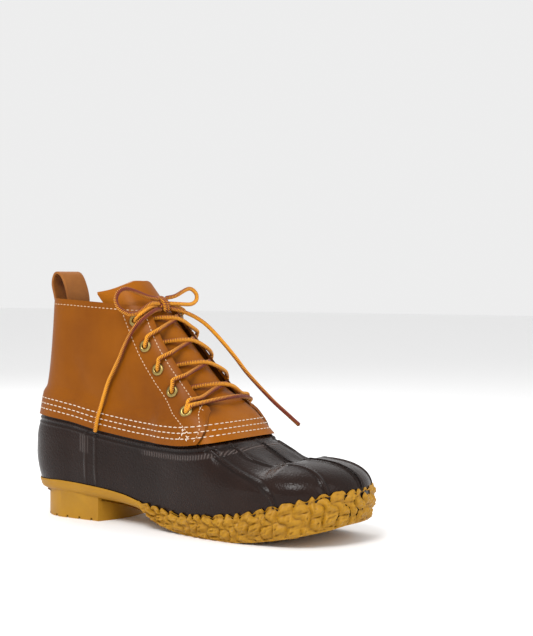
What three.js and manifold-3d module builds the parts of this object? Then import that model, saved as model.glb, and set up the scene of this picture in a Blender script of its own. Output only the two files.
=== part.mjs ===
// A duck boot for the right foot: a rubber galosh on a chain-tread sole under a laced leather shaft.
// Millimetres, +Z up, the toe towards +X, the medial side towards +Y.

import * as THREE from 'three';
import { mergeVertices } from 'three/addons/utils/BufferGeometryUtils.js';
import Module from 'manifold-3d';

const wasm = await Module();
wasm.setup();

// Driving dimensions of the form of the foot, measured on the outside of the rubber
const FOOT_LENGTH = 298;
const BALL_WIDTH = 97;
const HEEL_WIDTH = 69;
const HEEL_CENTRE = 50;
const TOE_ROUND = 44;
const INSTEP_HEIGHT = 71;
const INSTEP_PLACE = 204;
const THROAT_SLOPE = THREE.MathUtils.degToRad(48.7);
const COLLAR_HEIGHT = 174;
const BACK_LEAN = 22;

// Walls, gaps and the leather's seam over the rubber
const GAP = 0.3;
const RUBBER_WALL = 2.6;
const LEATHER = 2.0;
const TONGUE_LEATHER = 1.6;
const SEAM_BAND = 17;
const SEAM_OVERLAP = 11;
const BAND_STEP = 2.0;
const COLLAR_FRONT_FALL = 0.06;
const COLLAR_MEDIAL_FALL = 0.09;

// Above the seam's band the quarters and the tongue step in over these lengths; the vamp and the crown
// add to them. The vamp's seam starts between two shares of INSTEP_PLACE, and its base at a third.
const BAND_FADE = 7;
const VAMP_FADE = 4;
const CROWN_FADE = 22;
const CROWN_BAND = 3;
const VAMP_STARTS = 0.672;
const VAMP_FULL = 0.7377;
const VAMP_BASE = 0.821;
const TONGUE_SIDE_STARTS = 0.45;
const TONGUE_SIDE_FULL = 0.8;

// Lacing: the quarters' edges stand apart by a gap that narrows upwards from the last eyelet, and the
// eyelet rows share the throat's length between the last eyelet and the collar
const EYELET_ROWS = 5;
const LAST_EYELET = 35;
const EYELET_BELOW_COLLAR = 14.1;
const THROAT_LENGTH = (COLLAR_HEIGHT - INSTEP_HEIGHT) / Math.sin(THROAT_SLOPE);
const EYELET_PITCH = (THROAT_LENGTH - LAST_EYELET - EYELET_BELOW_COLLAR) / (EYELET_ROWS - 1);
const EYELET_FROM_EDGE = 13.8;
const THROAT_GAP = 51;
const EYELET_FLANGE = 4.7;
const EYELET_BARREL = 3.0;
const EYELET_BORE = 2.3;
const EYELET_PROUD = 1.0;
const EYELET_LIFT = 1.2;
const EYELET_HOLE_GAP = 0.54;
const EYELET_CHAMFER = 0.5;
const LACE = 3.2;
const TOP_ARCH = 3.6;
const LOW_ARCH = 1.4;
const BAR_ARCH = 1.2;
const TONGUE_DEPTH = 5.9;
const TONGUE_CROWN = 4.2;
const TONGUE_BEHIND = 28;
const TONGUE_TOP = 186.5;

// Sole
const RIM_HEIGHT = 29;
const HEEL_HEIGHT = 18;
const BAND_PROUD = 1.2;
const RIM_PROUD = 3.2;
const LUG_PITCH = 11;
const LUG_DEPTH = 1.3;
const LUGS_BEGIN = 0.41;
const RIM_TOE_SLIM = 0.3;
const TREAD = 2.5;
const TREAD_PITCH = 16;
const TREAD_BAR = 7;
const TREAD_BARS = 8;
const TREAD_BEGINS = 0.5;
const HEEL_LENGTH = 70;
const HEEL_INSET = 7;
const HEEL_SETBACK = 4;
const HEEL_GROOVE = 2;
const INSOLE = 3.5;

// Pull loop
const LOOP_WIDTH = 26;
const LOOP_LEATHER = 2.0;
const LOOP_RISE = 20.5;
const LOOP_REACH = 18;
const LOOP_SEAT = 0.95;

// Plan and side outlines of the form. x is a share of FOOT_LENGTH, lateral and medial are shares of
// BALL_WIDTH, crown is a share of INSTEP_HEIGHT, wide is the height of the widest line as a share of
// INSTEP_HEIGHT and full is the exponent of the section's curve.
const FORM_ROWS = [
  { x: 0.168, lateral: 0.340, medial: 0.340, wide: 0.70, full: 4.0 },
  { x: 0.235, lateral: 0.352, medial: 0.346, wide: 0.66, full: 4.0 },
  { x: 0.350, lateral: 0.362, medial: 0.342, wide: 0.60, full: 3.8 },
  { x: 0.470, lateral: 0.402, medial: 0.358, wide: 0.54, full: 3.6 },
  { x: 0.570, lateral: 0.462, medial: 0.402, wide: 0.50, full: 3.4 },
  { x: 0.680, lateral: 0.515, medial: 0.455, wide: 0.47, full: 3.0 },
  { x: 0.760, lateral: 0.530, medial: 0.480, wide: 0.48, full: 2.7 },
  { x: 0.852, lateral: 0.515, medial: 0.470, wide: 0.50, full: 2.5 },
];

// The crown line forward of the instep: ahead is a share of the length from INSTEP_PLACE to the toe,
// crown of INSTEP_HEIGHT
const CROWN_ROWS = [
  { ahead: -0.0937, crown: 1.140 },
  { ahead: 0.0014, crown: 1.000 },
  { ahead: 0.0965, crown: 0.930 },
  { ahead: 0.2138, crown: 0.850 },
  { ahead: 0.3184, crown: 0.775 },
  { ahead: 0.3977, crown: 0.748 },
  { ahead: 0.4674, crown: 0.775 },
  { ahead: 0.5308, crown: 0.807 },
];
const CROWN_BLEND = 0.02;

// The heel's outline seen from the side: height is a share of COLLAR_HEIGHT, lean of BACK_LEAN
const BACK_ROWS = [
  { height: 0.10, lean: 0.30 },
  { height: 0.17, lean: 0.12 },
  { height: 0.29, lean: 0.00 },
  { height: 0.38, lean: 0.06 },
  { height: 0.46, lean: 0.29 },
  { height: 0.53, lean: 0.42 },
  { height: 0.59, lean: 0.56 },
  { height: 0.65, lean: 0.68 },
  { height: 0.80, lean: 0.86 },
  { height: 0.95, lean: 0.98 },
  { height: 1.10, lean: 1.02 },
];

// The inside floor that the foot stands on, as shares of FOOT_LENGTH and INSTEP_HEIGHT
const FLOOR_ROWS = [
  { x: 0.00, floor: 0.358 },
  { x: 0.20, floor: 0.353 },
  { x: 0.35, floor: 0.290 },
  { x: 0.50, floor: 0.176 },
  { x: 0.62, floor: 0.134 },
  { x: 0.76, floor: 0.139 },
  { x: 0.88, floor: 0.198 },
  { x: 1.00, floor: 0.310 },
];

/** A smooth value between the rows of a table, level beyond its ends. */
function between(rows, key, column, at) {
  const last = rows.length - 1;
  if (at <= rows[0][key]) return rows[0][column];
  if (at >= rows[last][key]) return rows[last][column];
  let i = 0;
  while (at > rows[i + 1][key]) i += 1;
  const slope = (k) => {
    if (k === 0 || k === last) return 0;
    return (rows[k + 1][column] - rows[k - 1][column]) / (rows[k + 1][key] - rows[k - 1][key]);
  };
  const span = rows[i + 1][key] - rows[i][key];
  const t = (at - rows[i][key]) / span;
  const rise = rows[i + 1][column] - rows[i][column];
  const a = slope(i) * span - rise;
  const b = rise - slope(i + 1) * span;
  return rows[i][column] + t * rise + t * (1 - t) * ((1 - t) * a + t * b);
}

const smooth = (from, to, at) => THREE.MathUtils.smoothstep(at, from, to);

/** Height of the crown line over the floor plane: the throat's straight slope, then the table. */
function crownHeight(x) {
  const straight = INSTEP_HEIGHT + (INSTEP_PLACE - x) * Math.tan(THROAT_SLOPE);
  const ahead = (x - INSTEP_PLACE) / (FOOT_LENGTH - INSTEP_PLACE);
  const front = INSTEP_HEIGHT * between(CROWN_ROWS, 'ahead', 'crown', ahead);
  const mix = smooth(INSTEP_PLACE - CROWN_BLEND * FOOT_LENGTH, INSTEP_PLACE + CROWN_BLEND * FOOT_LENGTH, x);
  return straight * (1 - mix) + front * mix;
}

const TOE_CENTRE = FOOT_LENGTH - TOE_ROUND;
const FORM_TOP = 1.22 * COLLAR_HEIGHT;

const floorHeight = (x) => INSTEP_HEIGHT * between(FLOOR_ROWS, 'x', 'floor', x / FOOT_LENGTH);
const wideHeight = (x) => INSTEP_HEIGHT * between(FORM_ROWS, 'x', 'wide', x / FOOT_LENGTH);

// How much wider the form is along the heel than at its first row
const HEEL_BULGE = 1.046;

/** Half of the form's width at its widest line; the heel's share follows HEEL_WIDTH. */
function halfWidth(x, side) {
  const column = side < 0 ? 'lateral' : 'medial';
  const share = between(FORM_ROWS, 'x', column, x / FOOT_LENGTH);
  const heelShare = 2 * FORM_ROWS[0][column];
  const heelPart = 1 - smooth(HEEL_CENTRE, 0.5 * FOOT_LENGTH, x);
  const heelScale = (HEEL_WIDTH / BALL_WIDTH) / (heelShare * HEEL_BULGE);
  return BALL_WIDTH * share * (1 + (heelScale - 1) * heelPart);
}

/** Distance from the centre to a superellipse with half axes a and b. */
function ovalRadius(angle, a, b, power) {
  const along = Math.abs(Math.cos(angle) / a) ** power;
  const across = Math.abs(Math.sin(angle) / b) ** power;
  return (along + across) ** (-1 / power);
}

const HEEL_OVAL = 2.6;
const TOE_OVAL = 2.1;
const WAIST = 0.05;
const TUCK = 0.05;
const TOE_FLOOR = 0.8;

/**
 * The stations round the form. Each has a point of the spine, a plan direction from it and, at a fan's
 * end of the foot, the angle from the foot's length.
 */
function stationsAround(sideSteps, heelSteps, toeSteps) {
  const list = [];
  for (const side of [-1, 1]) {
    const ring = [];
    for (let k = 0; k < heelSteps; k += 1) {
      const angle = (k / heelSteps) * Math.PI / 2;
      ring.push({ x: HEEL_CENTRE, side, end: -1, angle });
    }
    for (let k = 0; k <= sideSteps; k += 1) {
      const x = HEEL_CENTRE + (k / sideSteps) * (TOE_CENTRE - HEEL_CENTRE);
      ring.push({ x, side, end: 0, angle: Math.PI / 2 });
    }
    for (let k = 1; k <= toeSteps; k += 1) {
      const angle = (1 - k / toeSteps) * Math.PI / 2;
      ring.push({ x: TOE_CENTRE, side, end: 1, angle });
    }
    if (side < 0) list.push(...ring);
    else list.push(...ring.slice(1, -1).reverse());
  }
  return list;
}

/** The form's radius from the spine at a station's widest line and at a height. */
function stationRadius(station, z) {
  const width = halfWidth(station.x, station.side);
  const share = z / COLLAR_HEIGHT;
  const waist = 1 - WAIST * smooth(0.35, 0.6, share) * (1 - smooth(0.7, 1.05, share));
  if (station.end === 0) return width * waist;
  if (station.end < 0) {
    const back = BACK_LEAN * between(BACK_ROWS, 'height', 'lean', share);
    return ovalRadius(station.angle, HEEL_CENTRE - back, width * waist, HEEL_OVAL);
  }
  return ovalRadius(station.angle, TOE_ROUND, width, TOE_OVAL);
}

// The leather's lower edge from the side, as shares of FOOT_LENGTH and INSTEP_HEIGHT
const SEAM_ROWS = [
  { x: -0.05, height: 1.135 },
  { x: 0.05, height: 1.130 },
  { x: 0.18, height: 1.081 },
  { x: 0.285, height: 1.008 },
  { x: 0.43, height: 0.944 },
  { x: 0.55, height: 0.929 },
  { x: 0.60, height: 0.940 },
  { x: 0.65, height: 0.968 },
  { x: 0.69, height: 1.000 },
  { x: 0.73, height: 1.055 },
  { x: 0.80, height: 1.230 },
];

const seamHeight = (x) => INSTEP_HEIGHT * between(SEAM_ROWS, 'x', 'height', x / FOOT_LENGTH);

/** The floor's height under a station's rim. */
const stationFloor = (s) => floorHeight(s.x + s.end * Math.cos(s.angle) * TOE_ROUND * TOE_FLOOR);

/** The plan x of a station's rim. */
const rimPlace = (s) => s.x + s.end * Math.cos(s.angle) * (s.end < 0 ? HEEL_CENTRE : TOE_ROUND);

/** A station's half section, from the floor up the side and over to the spine, as [radius, z] pairs. */
function stationProfile(station, count) {
  const wide = wideHeight(station.x);
  const floor = stationFloor(station);
  const crown = crownHeight(station.x);
  const power = between(FORM_ROWS, 'x', 'full', station.x / FOOT_LENGTH);
  const top = Math.min(crown, FORM_TOP);
  const fine = 60;
  const line = [];
  for (let k = 0; k <= fine; k += 1) {
    const height = floor + (wide - floor) * (k / fine);
    const down = 1 - k / fine;
    line.push([stationRadius(station, height) * (1 - TUCK * down * down), height]);
  }
  const lastAngle = Math.asin(((top - wide) / (crown - wide)) ** (power / 2));
  for (let k = 1; k <= fine; k += 1) {
    const angle = lastAngle * (k / fine);
    const height = wide + (crown - wide) * Math.sin(angle) ** (2 / power);
    line.push([stationRadius(station, height) * Math.cos(angle) ** (2 / power), height]);
  }
  return resample(line, count, seamHeight(rimPlace(station)) + SEAM_BAND);
}

/** The same line with points at even lengths along it, below a height and again above it. */
function resample(line, count, level) {
  const lengths = [0];
  for (let k = 1; k < line.length; k += 1) {
    lengths.push(lengths[k - 1] + Math.hypot(line[k][0] - line[k - 1][0], line[k][1] - line[k - 1][1]));
  }
  const whole = lengths[lengths.length - 1];
  const at = line.findIndex((p) => p[1] >= level);
  const reached = at > 0 ? lengths[at] - (line[at][1] - level) : whole;
  const turn = Math.min(reached, 0.7 * whole);
  const half = count / 2;
  const result = [];
  let i = 0;
  for (let k = 0; k <= count; k += 1) {
    const wanted = k <= half ? turn * (k / half) : turn + (whole - turn) * (k / half - 1);
    while (i < line.length - 2 && lengths[i + 1] < wanted) i += 1;
    const t = (wanted - lengths[i]) / Math.max(lengths[i + 1] - lengths[i], 1e-9);
    result.push([0, 1].map((n) => line[i][n] + t * (line[i + 1][n] - line[i][n])));
  }
  return result;
}

/** A point in plan at a distance from a station's spine point. */
function stationPoint(station, radius, z) {
  const along = station.end === 0 ? 0 : station.end * Math.cos(station.angle);
  const across = station.side * Math.sin(station.angle);
  return new THREE.Vector3(station.x + radius * along, radius * across, z);
}

/** The points and the side walls between rings of the same number of points. */
function ringWalls(rings) {
  const size = rings[0].length;
  const positions = [];
  const indices = [];
  rings.forEach((ring) => ring.forEach((p) => positions.push(p.x, p.y, p.z)));
  for (let r = 0; r + 1 < rings.length; r += 1) {
    for (let k = 0; k < size; k += 1) {
      const a = r * size + k;
      const b = r * size + (k + 1) % size;
      indices.push(a, b, b + size, a, b + size, a + size);
    }
  }
  return { positions, indices };
}

/** An indexed geometry from its points and triangles. */
function indexedGeometry(positions, indices) {
  const geometry = new THREE.BufferGeometry();
  geometry.setAttribute('position', new THREE.Float32BufferAttribute(positions, 3));
  geometry.setIndex(indices);
  return geometry;
}

/** Joins rings of the same number of points and closes both ends across their plan outlines. */
function loftAcross(rings) {
  const { positions, indices } = ringWalls(rings);
  const plan = (ring) => ring.map((p) => new THREE.Vector2(p.x, p.y));
  const top = (rings.length - 1) * rings[0].length;
  THREE.ShapeUtils.triangulateShape(plan(rings[0]), []).forEach(([a, b, c]) => indices.push(c, b, a));
  THREE.ShapeUtils.triangulateShape(plan(rings[rings.length - 1]), []).forEach(([a, b, c]) => {
    indices.push(top + a, top + b, top + c);
  });
  return indexedGeometry(positions, indices);
}

/** A closed mesh from rings of the same number of points, with a fan over each end. */
function loftRings(rings, firstPole, lastPole) {
  const size = rings[0].length;
  const { positions, indices } = ringWalls(rings);
  const addCap = (ringIndex, pole, flip) => {
    const start = ringIndex * size;
    for (let k = 0; k < size; k += 1) {
      const a = start + k;
      const b = start + (k + 1) % size;
      const centre = positions.length / 3;
      const p = pole[k];
      const q = pole[(k + 1) % size];
      positions.push(p.x, p.y, p.z, q.x, q.y, q.z);
      if (flip) indices.push(b, a, centre, b, centre, centre + 1);
      else indices.push(a, b, centre + 1, a, centre + 1, centre);
    }
  };
  addCap(0, firstPole, true);
  addCap(rings.length - 1, lastPole, false);
  return withoutSlivers(mergeVertices(indexedGeometry(positions, indices), MERGED));
}

/** Drops the triangles whose corners fell together when their points were merged. */
function withoutSlivers(geometry) {
  const kept = [];
  const index = geometry.getIndex().array;
  for (let k = 0; k < index.length; k += 3) {
    const [a, b, c] = [index[k], index[k + 1], index[k + 2]];
    if (a !== b && b !== c && c !== a) kept.push(a, b, c);
  }
  geometry.setIndex(kept);
  return geometry;
}

// Points closer than this are one point
const MERGED = 1e-4;

// How finely the form is faceted: stations round it and levels up it
const STATIONS = stationsAround(12, 5, 6);
const LEVELS = 10;

/** The form of the boot as a closed surface. */
function formGeometry() {
  const profiles = STATIONS.map((station) => stationProfile(station, LEVELS));
  const rings = [];
  for (let k = 0; k <= LEVELS; k += 1) {
    rings.push(STATIONS.map((station, n) => stationPoint(station, profiles[n][k][0], profiles[n][k][1])));
  }
  const bottom = STATIONS.map((s) => new THREE.Vector3(s.x, 0, floorHeight(s.x)));
  const top = STATIONS.map((s, n) => new THREE.Vector3(s.x, 0, profiles[n][LEVELS][1]));
  return loftRings(rings, bottom, top);
}

/** The form with every point moved out along its normal by a distance worked out from its place. */
function formOffset(distance) {
  const geometry = formGeometry();
  geometry.computeVertexNormals();
  const position = geometry.getAttribute('position');
  const normal = geometry.getAttribute('normal');
  const p = new THREE.Vector3();
  const n = new THREE.Vector3();
  for (let k = 0; k < position.count; k += 1) {
    p.fromBufferAttribute(position, k);
    n.fromBufferAttribute(normal, k);
    p.addScaledVector(n, typeof distance === 'number' ? distance : distance(p));
    position.setXYZ(k, p.x, p.y, p.z);
  }
  geometry.deleteAttribute('normal');
  return solidOf(geometry);
}

/** A closed geometry as a solid that can be joined and cut. */
function solidOf(geometry) {
  const bare = geometry.clone();
  bare.deleteAttribute('normal');
  bare.deleteAttribute('uv');
  const merged = withoutSlivers(mergeVertices(bare, MERGED));
  return new wasm.Manifold(new wasm.Mesh({
    numProp: 3,
    vertProperties: new Float32Array(merged.getAttribute('position').array),
    triVerts: new Uint32Array(merged.getIndex().array),
  }));
}

/** A solid's surface as a geometry. */
function geometryOf(solid) {
  const mesh = solid.getMesh();
  return indexedGeometry(mesh.vertProperties, Array.from(mesh.triVerts));
}

const group = new THREE.Group();

/** Puts a solid or a geometry into the boot as a named mesh. */
function addPiece(name, shape, look) {
  const geometry = shape.isBufferGeometry ? shape : geometryOf(shape);
  const mesh = new THREE.Mesh(geometry, new THREE.MeshStandardMaterial(look));
  mesh.name = name;
  group.add(mesh);
  return mesh;
}

// Directions along the throat, towards the toe, and square to it in the side view
const ALONG = new THREE.Vector3(Math.cos(THROAT_SLOPE), 0, -Math.sin(THROAT_SLOPE));
const OUT = new THREE.Vector3(Math.sin(THROAT_SLOPE), 0, Math.cos(THROAT_SLOPE));
const INSTEP = new THREE.Vector3(INSTEP_PLACE, 0, INSTEP_HEIGHT);

/** Half width of the form at a height on a side station, with the curve over to the crown. */
function formHalf(x, z, side) {
  const station = { x, side, end: 0, angle: Math.PI / 2 };
  const wide = wideHeight(x);
  if (z <= wide) return stationRadius(station, z);
  const share = Math.min((z - wide) / (crownHeight(x) - wide), 1);
  const power = between(FORM_ROWS, 'x', 'full', x / FOOT_LENGTH);
  return stationRadius(station, z) * (1 - share ** power) ** (1 / power);
}

/** A point on the form over the throat, at a length along it and a sideways place, lifted off it. */
function throatPoint(along, y, lift) {
  const find = (s, across) => {
    const side = across < 0 ? -1 : 1;
    let low = -0.5 * BALL_WIDTH;
    let high = 2 * LEATHER;
    const p = new THREE.Vector3();
    for (let k = 0; k < 40; k += 1) {
      const middle = (low + high) / 2;
      p.copy(INSTEP).addScaledVector(ALONG, s).addScaledVector(OUT, middle);
      const inside = p.z < crownHeight(p.x) && formHalf(p.x, p.z, side) > Math.abs(across);
      if (inside) low = middle;
      else high = middle;
    }
    p.y = across;
    return p;
  };
  const step = 0.6;
  const p = find(along, y);
  const ds = find(along + step, y).sub(find(along - step, y));
  const dy = find(along, y + step).sub(find(along, y - step));
  const normal = dy.cross(ds).normalize();
  if (normal.dot(OUT) < 0) normal.negate();
  return { point: p.addScaledVector(normal, lift), normal };
}

/** A prism through the whole width with the given side outline of [x, z] points. */
function sidePrism(outline) {
  const shape = new THREE.Shape(outline.map(([x, z]) => new THREE.Vector2(x, z)));
  const reach = 2 * BALL_WIDTH;
  const geometry = new THREE.ExtrudeGeometry(shape, { depth: reach, bevelEnabled: false });
  geometry.translate(0, 0, -reach / 2);
  geometry.rotateX(Math.PI / 2);
  return solidOf(geometry);
}

/** Points of the seam line between two places, raised by a height. */
function seamLine(from, to, raise) {
  const steps = 24;
  const line = [];
  for (let k = 0; k <= steps; k += 1) {
    const x = from + (to - from) * (k / steps);
    line.push([x, seamHeight(x) + raise]);
  }
  return line;
}

const BACK_LIMIT = -0.1 * FOOT_LENGTH;
const FRONT_LIMIT = 0.8 * FOOT_LENGTH;
const SKY = 1.2 * COLLAR_HEIGHT;

/** Everything above the collar's sloping plane. */
function aboveCollar() {
  const size = 4 * COLLAR_HEIGHT;
  const block = new THREE.BoxGeometry(size, size, size);
  block.translate(0, 0, size / 2);
  const slope = new THREE.Matrix4().set(
    1, 0, 0, 0,
    0, 1, 0, 0,
    -COLLAR_FRONT_FALL, -COLLAR_MEDIAL_FALL, 1, 0,
    0, 0, 0, 1,
  );
  block.applyMatrix4(slope);
  block.translate(0, 0, COLLAR_HEIGHT + COLLAR_FRONT_FALL * BACK_LEAN - COLLAR_MEDIAL_FALL * HEEL_WIDTH / 2);
  return solidOf(block);
}

/** How high a point lies over the leather's lower edge. */
const overSeam = (p) => p.z - seamHeight(p.x);

/** The quarters' inner face: over the rubber at the band, over the vamp too in front, then stepping in. */
function quarterInside(p) {
  const vamp = smooth(VAMP_STARTS * INSTEP_PLACE, VAMP_FULL * INSTEP_PLACE, p.x);
  const overVamp = vamp * (TONGUE_LEATHER + 3 * GAP);
  const fade = smooth(SEAM_BAND, SEAM_BAND + BAND_FADE + VAMP_FADE * overVamp, overSeam(p));
  return GAP + overVamp * (1 - fade) - BAND_STEP * fade;
}

/** The tongue's outer face: over the rubber at its base, then dropping below the quarters. */
function tongueOutside(p) {
  const width = halfWidth(p.x, Math.sign(p.y));
  const sideways = smooth(TONGUE_SIDE_STARTS, TONGUE_SIDE_FULL, Math.abs(p.y) / width);
  const start = SEAM_BAND + CROWN_BAND * (1 - sideways);
  const fade = smooth(start, start + BAND_FADE + CROWN_FADE * (1 - sideways), overSeam(p));
  const depth = TONGUE_DEPTH - TONGUE_CROWN * (1 - smooth(0, 0.5 * THROAT_GAP, Math.abs(p.y)));
  return (2 * GAP + TONGUE_LEATHER) * (1 - fade) - depth * fade;
}

const CROWN_LEVEL = OUT.dot(INSTEP);
const eyeletAlong = (row) => -(LAST_EYELET + EYELET_PITCH * (EYELET_ROWS - row));

// The quarters' edges: row is an eyelet row counted down from the top, the others shares of THROAT_GAP
const EDGE_ROWS = [
  { row: -1.0, lateral: 0.22, medial: 0.16 },
  { row: 0.3, lateral: 0.28, medial: 0.19 },
  { row: 1.0, lateral: 0.35, medial: 0.235 },
  { row: 2.0, lateral: 0.44, medial: 0.305 },
  { row: 3.0, lateral: 0.49, medial: 0.37 },
  { row: 4.0, lateral: 0.52, medial: 0.43 },
  { row: 5.0, lateral: 0.54, medial: 0.46 },
  { row: 7.0, lateral: 0.55, medial: 0.47 },
];

/** Distance of a quarter's edge from the middle of the boot at a length along the throat. */
function edgeHalf(along, side) {
  const row = EYELET_ROWS + (along + LAST_EYELET) / EYELET_PITCH;
  return THROAT_GAP * between(EDGE_ROWS, 'row', side < 0 ? 'lateral' : 'medial', row);
}

/** The point of the side view at a level square to the throat and a height. */
const atLevel = (level, z) => [(level - OUT.z * z) / OUT.x, z];

// The quarters' lower front corner, from the last eyelet, as shares of the eyelets' distance to the edge
const CORNER_ROWS = [
  { ahead: 0.52, down: -0.80 },
  { ahead: 0.66, down: -0.10 },
  { ahead: 0.82, down: 0.52 },
  { ahead: 0.84, down: 1.05 },
  { ahead: 0.62, down: 1.55 },
  { ahead: 0.20, down: 2.02 },
];

/** Side outline of the quarters: seam, rounded corner, then clear of the throat and the collar. */
function quarterOutline() {
  const eyelet = eyeletPlace(EYELET_ROWS, -1).point;
  const corner = new THREE.CatmullRomCurve3(CORNER_ROWS.map((row) => new THREE.Vector3(
    eyelet.x + row.ahead * EYELET_FROM_EDGE, 0, eyelet.z - row.down * EYELET_FROM_EDGE)));
  const rounded = corner.getPoints(14).map((p) => [p.x, p.z]).reverse();
  return [
    ...seamLine(BACK_LIMIT, rounded[0][0] - 1, 0),
    ...rounded,
    atLevel(CROWN_LEVEL + BALL_WIDTH / 10, SKY),
    [BACK_LIMIT, SKY],
  ];
}

/** The gap between the quarters' edges, cut square to the throat. */
function throatSlot() {
  const top = eyeletAlong(-3);
  const bottom = eyeletAlong(EYELET_ROWS + 2);
  const steps = 20;
  const edges = [[], []];
  for (let k = 0; k <= steps; k += 1) {
    const along = top + (bottom - top) * (k / steps);
    edges[0].push(new THREE.Vector2(along, -edgeHalf(along, -1)));
    edges[1].unshift(new THREE.Vector2(along, edgeHalf(along, 1)));
  }
  const depth = 0.4 * BALL_WIDTH;
  const shape = new THREE.Shape([...edges[0], ...edges[1]]);
  const geometry = new THREE.ExtrudeGeometry(shape, { depth: 2 * depth, bevelEnabled: false });
  geometry.translate(0, 0, -depth);
  const across = new THREE.Vector3(0, 1, 0);
  const frame = new THREE.Matrix4().makeBasis(ALONG, across, OUT).setPosition(INSTEP);
  return solidOf(geometry.applyMatrix4(frame));
}

/** Side outline of the tongue: forward of a line behind the eyelets, with a wider base over the rubber. */
function tongueOutline() {
  const behind = CROWN_LEVEL - TONGUE_BEHIND;
  const baseBack = VAMP_BASE * INSTEP_PLACE;
  const turn = (behind - OUT.x * baseBack) / OUT.z;
  return [
    ...seamLine(baseBack, FRONT_LIMIT, 0),
    [FRONT_LIMIT, SKY],
    atLevel(behind, SKY),
    [baseBack, turn],
  ];
}

// The tongue's top edge from the front: y is a share of THROAT_GAP, fall a share of the collar's height
const TONGUE_TOP_ROWS = [
  { y: -0.72, fall: 0.190 },
  { y: -0.58, fall: 0.130 },
  { y: -0.42, fall: 0.062 },
  { y: -0.22, fall: 0.012 },
  { y: 0.00, fall: 0.000 },
  { y: 0.20, fall: 0.006 },
  { y: 0.38, fall: 0.050 },
  { y: 0.56, fall: 0.110 },
  { y: 0.72, fall: 0.160 },
];

/** Everything above the tongue's top edge. */
function aboveTongue() {
  const steps = 16;
  const reach = TONGUE_TOP_ROWS[TONGUE_TOP_ROWS.length - 1].y;
  const edge = [];
  for (let k = 0; k <= steps; k += 1) {
    const share = reach * (2 * k / steps - 1);
    const fall = COLLAR_HEIGHT * between(TONGUE_TOP_ROWS, 'y', 'fall', share);
    edge.push(new THREE.Vector2(share * THROAT_GAP, TONGUE_TOP - fall));
  }
  const high = 2 * SKY;
  edge.push(new THREE.Vector2(reach * THROAT_GAP, high), new THREE.Vector2(-reach * THROAT_GAP, high));
  const length = 2 * FOOT_LENGTH;
  const geometry = new THREE.ExtrudeGeometry(new THREE.Shape(edge), { depth: length, bevelEnabled: false });
  geometry.translate(0, 0, -length / 2);
  const frame = new THREE.Matrix4().makeBasis(
    new THREE.Vector3(0, 1, 0), new THREE.Vector3(0, 0, 1), new THREE.Vector3(1, 0, 0));
  return solidOf(geometry.applyMatrix4(frame));
}

/** One form less another inside it. */
const shellOf = (outside, inside) => formOffset(outside).subtract(formOffset(inside));

/** A turned piece with its axis on an eyelet's normal. */
function placedOn(geometry, place) {
  const turn = new THREE.Quaternion().setFromUnitVectors(new THREE.Vector3(0, 1, 0), place.normal);
  return geometry.applyMatrix4(new THREE.Matrix4().compose(place.point, turn, new THREE.Vector3(1, 1, 1)));
}

/** Where an eyelet sits: on the leather's outer face, its distance from the edge along the form. */
function eyeletPlace(row, side) {
  const along = eyeletAlong(row);
  const step = 0.25;
  let y = edgeHalf(along, side);
  let walked = 0;
  let last = throatPoint(along, side * y, 0).point;
  while (walked < EYELET_FROM_EDGE) {
    y += step;
    const next = throatPoint(along, side * y, 0).point;
    walked += next.distanceTo(last);
    last = next;
  }
  const place = throatPoint(along, side * y, 0);
  place.point.addScaledVector(place.normal, quarterInside(place.point) + LEATHER);
  return place;
}

const SIDES = [{ side: -1, name: 'lateral' }, { side: 1, name: 'medial' }];

/** The hole for an eyelet's barrel. */
function eyeletHole(place) {
  const radius = EYELET_BARREL + EYELET_HOLE_GAP;
  return solidOf(placedOn(new THREE.CylinderGeometry(radius, radius, 6 * LEATHER, 12), place));
}

/** A brass ring: a barrel through the leather and a flange on its outer face. */
function eyeletRing(place) {
  const deep = -(LEATHER + GAP);
  const profile = [
    [EYELET_BORE, deep],
    [EYELET_BARREL, deep],
    [EYELET_BARREL, EYELET_LIFT],
    [EYELET_FLANGE, EYELET_LIFT],
    [EYELET_BORE + EYELET_CHAMFER, EYELET_LIFT + EYELET_PROUD],
    [EYELET_BORE, deep],
  ].map(([r, y]) => new THREE.Vector2(r, y));
  return placedOn(new THREE.LatheGeometry(profile, 10), place);
}

const leatherLook = { color: 0xa9652a, roughness: 0.55, metalness: 0 };
const tongueLook = { color: 0xb06a20, roughness: 0.6, metalness: 0 };
const rubberLook = { color: 0x3c3230, roughness: 0.5, metalness: 0 };
const soleLook = { color: 0xbe8c28, roughness: 0.6, metalness: 0 };
const brassLook = { color: 0xa08c46, roughness: 0.35, metalness: 1 };
const insoleLook = { color: 0x8a6a48, roughness: 0.9, metalness: 0 };
const laceLook = { color: 0xb06a28, roughness: 0.8, metalness: 0 };
const loopLook = { color: 0x95592c, roughness: 0.65, metalness: 0 };

/** The quarters of the shaft, one piece round the back, with their eyelet holes. */
function leatherShaft() {
  const outside = (p) => quarterInside(p) + LEATHER;
  let shaft = shellOf(outside, quarterInside).intersect(sidePrism(quarterOutline()));
  shaft = shaft.subtract(aboveCollar()).subtract(throatSlot());
  for (const { side } of SIDES) {
    for (let row = 1; row <= EYELET_ROWS; row += 1) {
      shaft = shaft.subtract(eyeletHole(eyeletPlace(row, side)));
    }
  }
  return shaft;
}

/** The tongue with the vamp plug at its base. */
function tongue() {
  const inside = (p) => tongueOutside(p) - TONGUE_LEATHER;
  return shellOf(tongueOutside, inside).intersect(sidePrism(tongueOutline())).subtract(aboveTongue());
}

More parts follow.
